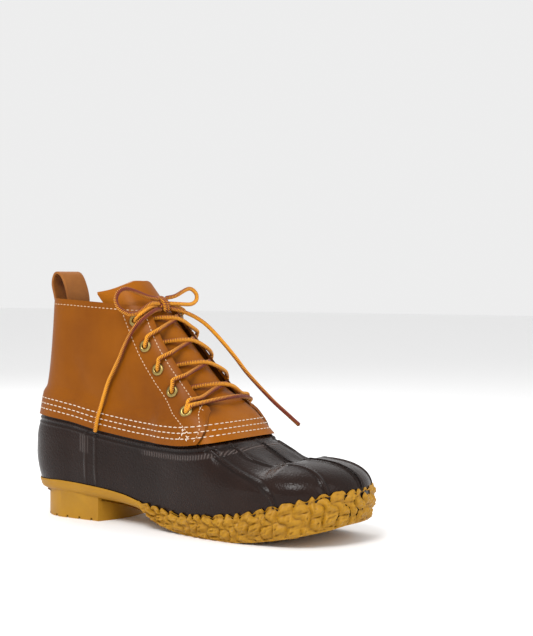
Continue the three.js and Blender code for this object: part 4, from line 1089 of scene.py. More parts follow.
        outer = self.offset(self.form, lambda p: s.tongue_outside(p) + hollow(p))
        inner = self.offset(self.form, lambda p: s.tongue_outside(p) - s.tongue_leather + hollow(p))
        mesh = Solid.combine(outer, inner, Cut.TAKE_OFF)
        mesh = Solid.combine(mesh, self.side_prism(outline), Cut.KEEP_INSIDE)
        reach = self.tongue_rows[-1][0]
        shares = np.linspace(-reach, reach, 60)
        falls = self.last.collar * between(self.tongue_rows, shares)
        edge = [(-length, float(a) * s.throat_gap, self.tongue_top - float(f)) for a, f in zip(shares, falls)]
        high = 2 * sky
        edge += [(-length, reach * s.throat_gap, high), (-length, -reach * s.throat_gap, high)]
        mesh = Solid.combine(mesh, Solid.prism(edge, Vector((3 * length, 0, 0))), Cut.TAKE_OFF)
        # painted shade on the tongue beside the quarters' edges, where they shade it; none near the collar or well past
        # the last eyelet row
        at = Solid.coordinates(mesh)
        runs = (at - self.last.instep_point) @ self.last.along
        edges = np.array([s.edge_half(float(a), -1 if y < 0 else 1) for a, y in zip(runs, at[:, 1])])
        inside = np.clip(edges - np.abs(at[:, 1]), 0, None)
        reach = np.where(at[:, 1] < 0, 9.5, 6.0)
        low = 1 - smooth(self.last.collar - 22, self.last.collar - 8, at[:, 2])
        shade = 0.85 * np.exp(-((inside / reach) ** 2)) * low * (1 - smooth(6, 15, runs - s.eyelet_along(s.rows)))
        Solid.paint(mesh, shade, outer)
        self.tongue_tree = BVHTree.FromPolygons([v.co for v in mesh.vertices], [p.vertices for p in mesh.polygons])
        return Piece("tongue_and_vamp", mesh, TONGUE_LEATHER, "tongue", ("tongue",), 42)

    def lay_ridges(self) -> list[np.ndarray]:
        """The ridges over the toes and their mirrored ones, laid onto the form."""
        plain = self.offset(self.fine, lambda p: np.zeros(len(p)))
        tree = BVHTree.FromPolygons([v.co for v in plain.vertices], [f.vertices for f in plain.polygons])
        laid = []
        for line in self.ridges:
            for mirror in ((1, 1, 1), (1, -0.9, 1)):
                rough = through(np.array(line) * mirror, 60)
                laid.append(np.array([tree.find_nearest(Vector(point))[0] for point in rough]))
        return laid

    def ridge_distance(self, p: np.ndarray) -> np.ndarray:
        """Distance of points from the nearest ridge over the toes."""
        return np.min([near_line(p, line) for line in self.laid], axis=0)

    def strip_distance(self, p: np.ndarray) -> np.ndarray:
        """Distance of points from the nearest upright strip on the rear quarters."""
        lines = [np.array(line) * (1, sign, 1) for line in self.strips for sign in (1, -1)]
        return np.min([near_line(p, line) for line in lines], axis=0)

    def relief(self, p: np.ndarray) -> np.ndarray:
        """The shell's raised lines: ridges over the toes, the bead under the leather and two side strips."""
        d = self.ridge_distance(p)
        total = 0.8 * np.exp(-((d / 1.4) ** 2)) - 0.4 * np.exp(-(((d - 2.9) / 0.9) ** 2))
        waist = np.exp(-(((p[:, 0] - 0.81 * self.last.length) / (0.045 * self.last.length)) ** 2))
        total += 2.0 * waist * smooth(12, 24, np.abs(p[:, 1])) * smooth(30, 40, p[:, 2])
        over = self.seams.over(p)
        ahead = 1 - smooth(0.66 * self.last.length, 0.72 * self.last.length, p[:, 0])
        total += 0.9 * np.exp(-(((over + 3.0) / 1.0) ** 2)) * np.maximum(ahead, 0.35)
        total -= 0.3 * np.exp(-(((over + 4.9) / 0.8) ** 2)) * ahead
        total += 0.5 * np.exp(-(((over + 6.6) / 0.8) ** 2)) * ahead
        total += self.strip_lift * np.exp(-((self.strip_distance(p) / 1.1) ** 2)) * (over < -5)
        return total

    def welts(self) -> Piece:
        """The crests of the ridges over the toes, as thin half sunk beads."""
        tubes = []
        for line in self.laid:
            kept = [tuple(p) for p in line[::2] if self.seams.over(p[None, :])[0] < -4.5]
            tubes.append(Tube(kept, 2.7))
        return Piece("toe_welts", Lacing.gather("welts", tubes), RUBBER, "shell", (), 80)

    def shell(self) -> Piece:
        """The rubber galosh, open at the top and underneath."""
        self.laid = self.lay_ridges()
        outer = self.offset(self.fine, self.relief)
        inner = self.offset(self.inner_form, lambda p: np.full(len(p), -self.rubber_wall))
        length = self.last.length
        back, far, sky = -0.1 * length, 2 * length, 1.2 * self.last.collar
        below = self.side_prism([*self.seam_line(back, 0.8 * length, self.seams.overlap), (far, sky), (far, -sky),
                                 (back, -sky)])
        mesh = Solid.combine(outer, inner, Cut.TAKE_OFF)
        mesh = Solid.combine(mesh, below, Cut.KEEP_INSIDE)
        mesh = Solid.combine(mesh, self.floor_plug(self.rubber_wall + 0.3, -8, 3.8), Cut.TAKE_OFF)
        at = Solid.coordinates(mesh)
        over = self.seams.over(at)
        # ribs: where the fine ribs are bumped and where their crests get the painted highlight
        ribs = mesh.attributes.new("ribs", "FLOAT", "POINT")
        band = smooth(-11.2, -10.4, over) * (1 - smooth(-7.8, -7.0, over))
        band *= smooth(0.42 * length, 0.46 * length, at[:, 0]) * (1 - smooth(0.76 * length, 0.78 * length, at[:, 0]))
        square = smooth(63, 64, at[:, 0]) * (1 - smooth(72, 73, at[:, 0]))
        square *= smooth(-22, -20, over) * (1 - smooth(-8, -7, over))
        strip = 0.45 * np.exp(-((self.strip_distance(at) / 0.7) ** 2)) * (over < -5)
        bead = 0.2 * np.exp(-(((over + 3.0) / 0.7) ** 2))
        value = np.maximum(np.maximum(band, 0.6 * square), np.maximum(strip, bead))
        ribs.data.foreach_set("value", value.astype(np.float32))
        # painted shade in the grooves beside the toe ridges and in the groove under the bead
        Solid.paint(mesh, 0.55 * np.exp(-(((self.ridge_distance(at) - 2.2) / 0.6) ** 2))
                    + 0.5 * np.exp(-(((over + 4.9) / 0.7) ** 2)))
        return Piece("shell_galosh", mesh, RUBBER, "shell", ("rubber_shell",), 46)

    def floor_plug(self, inset: float, low: float, high: float) -> bpy.types.Mesh:
        """A slab that follows the inside floor, set in from the side, between two heights over it."""
        st = self.last.stations(50, 12, 16)
        floor = self.last.station_floor(st)[:, None]
        spine = self.last.floor(st[:, 0])[:, None]
        rim = self.last.side_radius(st, floor) - inset
        shares = np.linspace(0, 1, 10)[None, :]
        r = np.hstack([rim * shares, rim * shares[:, ::-1]])
        base = spine + (floor - spine) * shares
        z = np.hstack([base + low, base[:, ::-1] + high])
        places = self.last.place(st, r, z)
        return Sheet.mesh("floor", np.concatenate([places, places[:1]], axis=0))

    def insole(self) -> Piece:
        """The footbed."""
        return Piece("footbed_insole", self.floor_plug(self.rubber_wall + 0.9, 0, 3.5), FOOTBED, "insole",
                     ("insole",), 50)


@dataclass
class Sole:
    """The gum sole: smooth band round the heel, chain-tread rim, heel block and tread bars."""

    last: Last
    upper: Upper
    lug_pitch: float = 9.4
    lugs_begin: float = 0.41
    band_proud: float = 1.2
    rim_proud: float = 3.2
    tread: float = 2.5
    tread_pitch: float = 16.0
    tread_bar: float = 7.0
    heel_length: float = 70.0
    heel_inset: float = 7.0
    heel_height: float = 18.0
    groove: float = 2.0
    seat: float = 0.6
    tops: tuple = ((0.00, 0.985), (0.13, 1.010), (0.26, 0.945), (0.36, 0.825), (0.42, 0.690), (0.48, 0.590),
                   (0.54, 0.540), (0.61, 0.540), (0.72, 0.660), (0.79, 0.790), (0.86, 0.990), (0.92, 1.190),
                   (0.97, 1.330), (1.00, 1.340))
    unders: tuple = ((0.00, 0.66), (0.13, 0.62), (0.26, 0.56), (0.36, 0.50), (0.42, 0.40), (0.48, 0.17),
                     (0.54, 0.05), (0.61, 0.00), (0.72, 0.00), (0.79, 0.06), (0.86, 0.18), (0.92, 0.32),
                     (0.97, 0.44), (1.00, 0.52))
    band_rows: tuple = ((0.00, 0.6), (0.10, 0.95), (0.20, 1.0), (0.45, 0.8), (0.72, -0.8), (1.00, -5.4))
    rim_rows: tuple = ((0.00, 1.4), (0.20, 3.2), (0.45, 3.4), (0.72, 3.0), (0.90, 1.6), (1.00, -0.4))

    def under(self, x: np.ndarray) -> np.ndarray:
        """Height of the sole's lower edge."""
        return self.last.rim * np.maximum(0, between(self.unders, np.asarray(x) / self.last.length))

    def links(self, run: np.ndarray, down: np.ndarray, height: np.ndarray) -> np.ndarray:
        """Relief of the chain tread: slanted, staggered links with a pit in each.

        Args:
            run: length along the rim.
            down: share of the edge's height, from the top.
            height: the edge's height.

        Returns:
            How far each point stands out.
        """
        t = down * height
        phase = self.column(run, down)
        number = np.floor(phase)
        part = phase - number
        level = 2.5 * down + 0.5 * np.mod(number, 2) + 0.24 * np.sin(1.7 * number)
        share = level - np.floor(level)
        dome = np.sin(math.pi * part) ** 2
        cross = np.sin(math.pi * share) ** 2
        link = dome**0.62 * (0.18 + 0.82 * cross**0.6)
        skew = part - 0.5 + 0.7 * (share - 0.5)
        link -= 0.38 * np.exp(-((skew / 0.12) ** 2)) * np.exp(-(((share - 0.45) / 0.22) ** 2))
        lumps = 0.55 * np.sin(0.95 * run + 1.5 * t) * np.sin(1.25 * t - 0.62 * run + 1.1 * np.sin(0.3 * run))
        return 3.9 * link + lumps * (0.3 + 0.7 * dome) - 2.3

    def column(self, run: np.ndarray, down: np.ndarray) -> np.ndarray:
        """Which column of links a place on the rim is in, as they wind down the edge."""
        wind = 0.17 * np.sin(9.0 * down + 1.2 * np.sin(0.13 * run)) + 0.12 * np.sin(0.55 * run + 4.0 * down)
        return (run + 1.2 * np.sin(0.19 * run)) / self.lug_pitch + wind - 0.7 * down

    def edge(self) -> bpy.types.Mesh:
        """The sole's body with its edge, as a closed mesh."""
        st = self.last.stations(420, 80, 200)
        share = self.last.rim_place(st) / self.last.length
        rimness = smooth(self.lugs_begin - 0.01, self.lugs_begin + 0.05, share)[:, None]
        plan = self.last.place(st, self.last.side_radius(st, self.last.station_floor(st)[:, None]),
                               np.zeros((len(st), 1)))[:, 0]
        run = np.concatenate([[0], np.cumsum(np.linalg.norm(np.diff(plan, axis=0), axis=1))])[:, None]
        top = self.last.rim * between(self.tops, share)[:, None]
        under = self.under(share * self.last.length)[:, None]
        toeward = (1 - 0.3 * smooth(0.93, 1.0, share))[:, None]
        down = np.linspace(0, 1, 36)[None, :]
        wave = np.cos(math.tau * (self.column(run, np.zeros_like(run)) - 0.5))
        z = top - down * (top - under) + 1.3 * wave * rimness * (1 - down) ** 6
        z = np.minimum(z, top + 1.4)
        relief = self.links(run, down, top - under) * rimness
        relief = np.where(down < 0.08, np.minimum(relief, 0.4), relief)
        relief *= smooth(-0.02, 0.08, down) * (1 - smooth(0.93, 1.0, down))
        proud = between(self.band_rows, down) * self.band_proud * (1 - rimness)
        proud = proud + between(self.rim_rows, down) * toeward * rimness
        r = self.last.side_radius(st, z) + 0.3 + proud + relief
        plate_r = self.last.side_radius(st, under) - self.tread_bar / 2
        plate_z = under + self.tread * rimness
        shares = np.linspace(1, 0, 12)[None, :]
        mid_under = self.under(st[:, 0])[:, None] + self.tread * rimness
        floor_r = plate_r * shares
        floor_z = mid_under + (plate_z - mid_under) * shares
        inner_r = self.last.side_radius(st, top) - self.upper.rubber_wall
        top_r = inner_r * shares[:, ::-1]
        mid_top = self.last.floor(st[:, 0])[:, None] + self.last.rim
        top_z = mid_top + (z[:, :1] - mid_top) * shares[:, ::-1]
        r = np.hstack([top_r, r, floor_r])
        z = np.hstack([top_z, z, floor_z])
        places = self.last.place(st, r, z)
        return Sheet.mesh("edge", np.concatenate([places, places[:1]], axis=0))

    def heel(self) -> bpy.types.Mesh:
        """The heel block with its grooves."""
        half = self.last.heel_width / 2 - self.heel_inset / 2
        back = self.heel_inset + 4
        outline = []
        for angle in np.linspace(0, math.pi / 2, 26):
            outline.append((back + 0.5 * self.heel_length * (1 - math.cos(angle)), -0.985 * half * math.sin(angle), 0))
        outline.append((back + 0.98 * self.heel_length, -half, 0))
        outline.append((back + 1.05 * self.heel_length, -0.6 * half, 0))
        outline.append((back + 1.08 * self.heel_length, 0, 0))
        outline += [(x, -y, z) for x, y, z in outline[-2:0:-1]]
        mesh = Solid.prism(outline, Vector((0, 0, self.heel_height + self.heel_inset / 2)))
        for share in (0.16, 0.34, 0.52, 0.70, 0.88):
            bm = bmesh.new()
            size = Matrix.Diagonal((self.groove, 2 * self.last.heel_width, 2 * self.groove, 1))
            spot = Matrix.Translation((back + share * self.heel_length, 0, 0))
            bmesh.ops.create_cube(bm, size=1.0, matrix=spot @ size)
            bmesh.ops.triangulate(bm, faces=bm.faces)
            tool = bpy.data.meshes.new("groove")
            bm.to_mesh(tool)
            bm.free()
            mesh = Solid.combine(mesh, tool, Cut.TAKE_OFF)
        return mesh

    def bar(self, x: float) -> bpy.types.Mesh:
        """A wavy bar across the underside."""
        low = float(self.under(x))
        centre = min(x, self.last.toe_centre)
        shrink = 1.0
        if x > self.last.toe_centre:
            part = (x - self.last.toe_centre) / self.last.toe_round
            shrink = (1 - part**self.last.toe_oval) ** (1 / self.last.toe_oval)
        ends = [side * (float(self.last.half(centre, side)) * shrink - self.heel_inset) for side in (-1, 1)]
        front, rear = [], []
        for k, y in enumerate(np.linspace(ends[0], ends[1], 49)):
            wave = self.tread * math.sin(2 * math.pi * k / 16)
            front.append((x + self.tread_bar / 2 + wave, float(y), low))
            rear.insert(0, (x - self.tread_bar / 2 + wave, float(y), low))
        return Solid.prism(front + rear, Vector((0, 0, 2 * self.tread)))

    def piece(self) -> Piece:
        """The whole sole as one piece."""
        body = self.edge()
        cavity = self.upper.offset(self.upper.inner_form, lambda p: np.full(len(p), self.seat))
        mesh = Solid.combine(body, cavity, Cut.TAKE_OFF)
        heel = Solid.combine(self.heel(), cavity, Cut.TAKE_OFF)
        mesh = Solid.combine(mesh, heel, Cut.JOIN)
        for k in range(8):
            mesh = Solid.combine(mesh, self.bar(0.5 * self.last.length + k * self.tread_pitch), Cut.JOIN)
        self.shade_hollows(mesh)
        return Piece("chain_tread_sole", mesh, GUM, "sole", ("outsole",), 60)

    def shade_hollows(self, mesh: bpy.types.Mesh) -> None:
        """Stores how deep each point lies between the links, as painted shade that darkens the colour in the hollows.
        """
        at = Solid.coordinates(mesh)
        bm = bmesh.new()
        bm.from_mesh(mesh)
        for _ in range(6):
            bmesh.ops.smooth_vert(bm, verts=bm.verts, factor=0.5, use_axis_x=True, use_axis_y=True, use_axis_z=True)
        soft = np.array([v.co[:] for v in bm.verts])
        bm.free()
        depth = ((soft - at) * Solid.normals(mesh)).sum(axis=1)
        value = np.clip(depth * 1.6, 0, 0.85) * (at[:, 0] > self.lugs_begin * self.last.length)
        mesh.attributes.new("hollow", "FLOAT", "POINT").data.foreach_set("value", value.astype(np.float32))


@dataclass
class Tube:
    """A round cord through points."""

    points: Sequence[Sequence[float]]
    diameter: float = 3.2
    sides: int = 14
    step: float = 0.9
    turn: float = 0.0

    def line(self) -> np.ndarray:
        """The cord's middle line."""
        rough = through(self.points, 60)
        length = float(np.linalg.norm(np.diff(rough, axis=0), axis=1).sum())
        return through(self.points, max(8, round(length / self.step)))

    def length(self) -> float:
        """The cord's length."""
        return float(np.linalg.norm(np.diff(self.line(), axis=0), axis=1).sum())

    def mesh(self, name: str) -> bpy.types.Mesh:
        """The cord's surface, with rounded ends and a pattern that runs along it."""
        line = self.line()
        tangent = np.gradient(line, axis=0)
        tangent /= np.linalg.norm(tangent, axis=1)[:, None]
        normal = np.cross(tangent[0], [0.3, 0.2, 0.93])
        normals = []
        for t in tangent:
            normal = normal - t * (normal @ t)
            normal /= np.linalg.norm(normal)
            normals.append(normal.copy())
        n = np.array(normals)
        b = np.cross(tangent, n)
        run = np.concatenate([[0], np.cumsum(np.linalg.norm(np.diff(line, axis=0), axis=1))])
        radius = np.full(len(line), self.diameter / 2)
        cap = self.diameter * 0.35
        for end in (run, run[-1] - run):
            radius = np.minimum(radius, self.diameter / 2 * np.sqrt(np.clip(1 - (1 - end / cap) ** 2, 0, 1))
                                * (end < cap) + self.diameter / 2 * (end >= cap))
        radius[[0, -1]] = 0
        radius[[1, -2]] = np.maximum(radius[[1, -2]], self.diameter * 0.38)
        angle = np.linspace(0, 2 * math.pi, self.sides + 1) + self.turn
        ring = np.cos(angle)[None, :, None] * n[:, None, :] + np.sin(angle)[None, :, None] * b[:, None, :]
        places = line[:, None, :] + ring * radius[:, None, None]
        uv = np.stack([np.repeat(run[:, None], self.sides + 1, axis=1),
                       np.repeat((angle - self.turn)[None, :] / (2 * math.pi), len(line), axis=0)], axis=2)
        return Sheet.mesh(name, places, uv)


@dataclass
class Trim:
    """Eyelets and stitching on the leather."""

    upper: Upper
    flange: float = 4.75
    bore: float = 2.2
    stitch_rows: tuple[float, ...] = (5.0, 9.2, 13.4)
    stitch: float = 3.7
    stitch_pitch: float = 5.0
    thread: float = 0.66

    def eyelets(self) -> None:
        """Ten brass rings, each spun about its own axis."""
        s = self.upper.seams
        for side in Side:
            for row in range(1, s.rows + 1):
                point, normal = s.eyelet(row, side.value)
                bm = bmesh.new()
                profile = [(self.bore, -2.4), (self.bore, 0.5), (self.bore + 0.2, 1.0), (self.bore + 0.8, 1.4),
                           (self.flange - 0.9, 1.25), (self.flange - 0.15, 0.8), (self.flange, 0.3),
                           (3.1, 0.2), (3.1, -2.4)]
                corners = [bm.verts.new((r, 0, z)) for r, z in profile]
                for a, b in zip(corners, corners[1:] + corners[:1]):
                    bm.edges.new((a, b))
                bmesh.ops.spin(bm, geom=bm.verts[:] + bm.edges[:], cent=(0, 0, 0), axis=(0, 0, 1),
                               angle=2 * math.pi, steps=32, use_merge=True)
                bmesh.ops.recalc_face_normals(bm, faces=bm.faces)
                turn = Vector((0, 0, 1)).rotation_difference(Vector(normal)).to_matrix().to_4x4()
                bmesh.ops.transform(bm, matrix=Matrix.Translation(Vector(point)) @ turn, verts=bm.verts)
                name = f"ring_{side.name.lower()}_{row}"
                mesh = bpy.data.meshes.new(name)
                bm.to_mesh(mesh)
                bm.free()
                Piece(name, mesh, BRASS, "brass", (f"eyelet_{side.name.lower()}_{row}",), 50).put()

    def cast(self, origin: np.ndarray, way: np.ndarray) -> tuple[np.ndarray, np.ndarray] | None:
        """Where a ray from outside first meets the leather."""
        best = None
        for tree in (self.upper.shaft_tree, self.upper.tongue_tree):
            hit, normal, _, distance = tree.ray_cast(Vector(origin), Vector(way), 400)
            if hit is not None and (best is None or distance < best[2]):
                best = (np.array(hit), np.array(normal), distance)
        return None if best is None else (best[0], best[1])

    def contour(self, lift: float) -> list[tuple[np.ndarray, np.ndarray]]:
        """The line round the leather at a height over its lower edge, from the heel's middle and back.

        Args:
            lift: height over the edge.

        Returns:
            Points with the leather's normals.
        """
        last = self.upper.last
        halves = []
        for side in (-1, 1):
            part = []
            for angle in np.linspace(0, math.pi / 2, 60)[:-1]:
                way = np.array([-math.cos(angle), side * math.sin(angle), 0])
                z = float(last.seam(last.heel_centre * (1 - math.cos(angle)))) + lift
                found = self.cast(np.array([last.heel_centre, 0, z]) + 200 * way, -way)
                if found is not None:
                    part.append(found)
            for x in np.arange(last.heel_centre, last.instep_place, 0.5):
                z = float(last.seam(x)) + lift
                found = self.cast(np.array([x, side * 150.0, z]), np.array([0, -side, 0.0]))
                if found is not None and side * found[0][1] > 0:
                    part.append(found)
            reach = abs(part[-1][0][1])
            while reach < 30 and len(part) > 4:
                part.pop()
                reach = abs(part[-1][0][1])
            halves.append(part)
        ends = [halves[0][-1][0][1], halves[1][-1][0][1]]
        over = []
        for y in np.linspace(ends[0] + 0.6, ends[1] - 0.6, 90):
            low, high, found = 150.0, 225.0, None
            for _ in range(14):
                x = (low + high) / 2
                hit = self.cast(np.array([x, y, 300.0]), np.array([0, 0, -1.0]))
                if hit is not None and hit[0][2] > float(last.seam(x)) + lift:
                    low, found = x, hit
                else:
                    high = x
            if found is not None:
                over.append(found)
        return halves[0] + over + halves[1][::-1]

    @staticmethod
    def spaced(spots: list[tuple[np.ndarray, np.ndarray]], pitch: float, dash: float):
        """Dashes at an even pitch along a line of points.

        Args:
            spots: the line's points with normals.
            pitch: distance from one dash to the next.
            dash: a dash's length.

        Yields:
            The start, the middle and the end of each dash, and the normal there.
        """
        at = np.array([p for p, _ in spots])
        normals = np.array([n for _, n in spots])
        run = np.concatenate([[0], np.cumsum(np.linalg.norm(np.diff(at, axis=0), axis=1))])

        def where(s: float) -> np.ndarray:
            """The point at a length along the line."""
            return np.array([np.interp(s, run, at[:, k]) for k in range(3)])

        for s in np.arange(0.5, run[-1] - dash, pitch):
            k = int(np.searchsorted(run, s + dash / 2))
            yield where(s), where(s + dash / 2), where(s + dash), normals[min(k, len(normals) - 1)]

    def sew(self, name: str, lines: list[list[tuple[np.ndarray, np.ndarray]]], pitch: float, dash: float,
            thickness: float, finish: Finish, slot: str) -> None:
        """Sews rows of stitches as one piece.

        Args:
            name: the piece's name.
            lines: the rows' points with normals.
            pitch: distance from stitch to stitch.
            dash: a stitch's length.
            thickness: the thread's thickness.
            finish: the thread's finish.
            slot: the material slot's name; passed on to the piece but not used.
        """
        bm = bmesh.new()
        for line in lines:
            if len(line) < 4:
                continue
            for start, middle, end, normal in self.spaced(line, pitch, dash):
                way = end - start
                length = np.linalg.norm(way)
                if length < 0.5 * dash or length > 1.3 * dash:
                    continue
                x = Vector(way / length)
                z = Vector(normal)
                y = z.cross(x).normalized()
                z = x.cross(y)
                basis = Matrix((x, y, z)).transposed().to_4x4()
                size = Matrix.Diagonal((length / 2, thickness * 0.62, thickness * 0.5, 1))
                spot = Matrix.Translation(Vector(middle) + z * thickness * 0.12)
                bmesh.ops.create_uvsphere(bm, u_segments=8, v_segments=7, radius=1.0,
                                          matrix=spot @ basis @ size @ Matrix.Rotation(math.pi / 2, 4, "Y"))
        mesh = bpy.data.meshes.new(name)
        bm.to_mesh(mesh)
        bm.free()
        Piece(name, mesh, finish, slot).put()

    def band_seams(self) -> None:
        """The three rows of thread round the leather's lower edge."""
        self.sew("band_stitches", [self.contour(lift) for lift in self.stitch_rows], self.stitch_pitch, self.stitch,
                 self.thread, THREAD, "leather")

    def facing_line(self, from_edge: float, side: int, first: float, end: float):
        """A line beside the throat's edge.

        Args:
            from_edge: its distance from the edge across the leather.
            side: the side of the foot.
            first: the row where it starts.
            end: the row where it ends.

        Returns:
            Points with normals.
        """
        s, last = self.upper.seams, self.upper.last
        spots = []
        for row in np.linspace(first, end, 34):
            along = s.eyelet_along(float(row))
            y = last.walk(along, s.edge_half(along, side), side, from_edge)
            now, normal = last.throat(along, side * y, 0)
            hit, normal, _, _ = self.upper.shaft_tree.ray_cast(Vector(now + normal * 15), Vector(-normal), 40)
            if hit is not None:
                spots.append((np.array(hit), np.array(normal)))
        return spots

    def facing_seams(self) -> None:
        """The two rows of thread on each side of the eyelets."""
        lines = []
        for side in (-1, 1):
            lines.append(self.facing_line(5.0, side, 0.1, 5.4))
            lines.append(self.facing_line(21.5, side, 0.1, 5.75))
            lines.append(self.corner_row(side))
        self.sew("facing_stitches", lines, 3.1, 2.0, 0.6, TAN_THREAD, "leather")

    def corner_row(self, side: int) -> list[tuple[np.ndarray, np.ndarray]]:
        """The thread that goes on round a quarter's lower corner, beside its edge."""
        s = self.upper.seams
        eyelet = s.eyelet(s.rows, -1)[0]
        rough = [(eyelet[0] + a * s.from_edge, 0, eyelet[2] - d * s.from_edge) for a, d in s.corner]
        line = through(rough, 40)
        way = np.gradient(line, axis=0)
        way /= np.linalg.norm(way, axis=1)[:, None]
        inset = line + 3.4 * np.stack([way[:, 2], 0 * way[:, 0], -way[:, 0]], axis=1)
        found = [self.cast(np.array([p[0], side * 150.0, p[2]]), np.array([0, -side, 0.0])) for p in inset[3:35]]
        return [spot for spot in found if spot is not None]

    def corner_tack(self) -> None:
        """The short crossing stitches that hold the quarters' lower corners."""
        lines = []
        for side in (-1, 1):
            for k in range(9):
                turn = 2.4 * k
                x = 175.0 + 3.6 * math.sin(1.7 * k) + 0.3 * k
                z = 74.5 + 3.4 * math.cos(2.9 * k)
                part = []
                for step in np.linspace(-2.0, 2.0, 6):
                    at = np.array([x + step * math.cos(turn), side * 150.0, z + step * math.sin(turn)])
                    found = self.cast(at, np.array([0, -side, 0.0]))
                    if found is not None:
                        part.append(found)
                lines.append(part)
        self.sew("corner_tack", lines, 6.0, 2.6, 0.62, THREAD, "leather")

    def collar_seam(self) -> None:
        """The row of thread under the collar."""
        last = self.upper.last
        lines = []
        for side in (-1, 1):
            part = []
            for x in np.arange(118, last.heel_centre, -1.0):
                z = self.collar_height(x, side * 28) - 4
                found = self.cast(np.array([x, side * 150.0, z]), np.array([0, -side, 0.0]))
                if found is not None and side * found[0][1] > 0:
                    part.append(found)
            for angle in np.linspace(math.pi / 2, 0, 40):
                way = np.array([-math.cos(angle), side * math.sin(angle), 0])
                z = self.collar_height(last.heel_centre - 28 * math.cos(angle), side * 28 * math.sin(angle)) - 4
                found = self.cast(np.array([last.heel_centre, 0, z]) + 200 * way, -way)
                if found is not None:
                    part.append(found)
            lines.append(part)
        self.sew("collar_stitches", lines, 3.6, 2.3, 0.58, TAN_THREAD, "leather")

    def collar_height(self, x: float, y: float) -> float:
        """Height of the collar's edge."""
        up = self.upper
        base = up.last.collar + up.collar_fall * up.last.back_lean - up.collar_medial * up.last.heel_width / 2
        return base - up.collar_fall * x - up.collar_medial * y


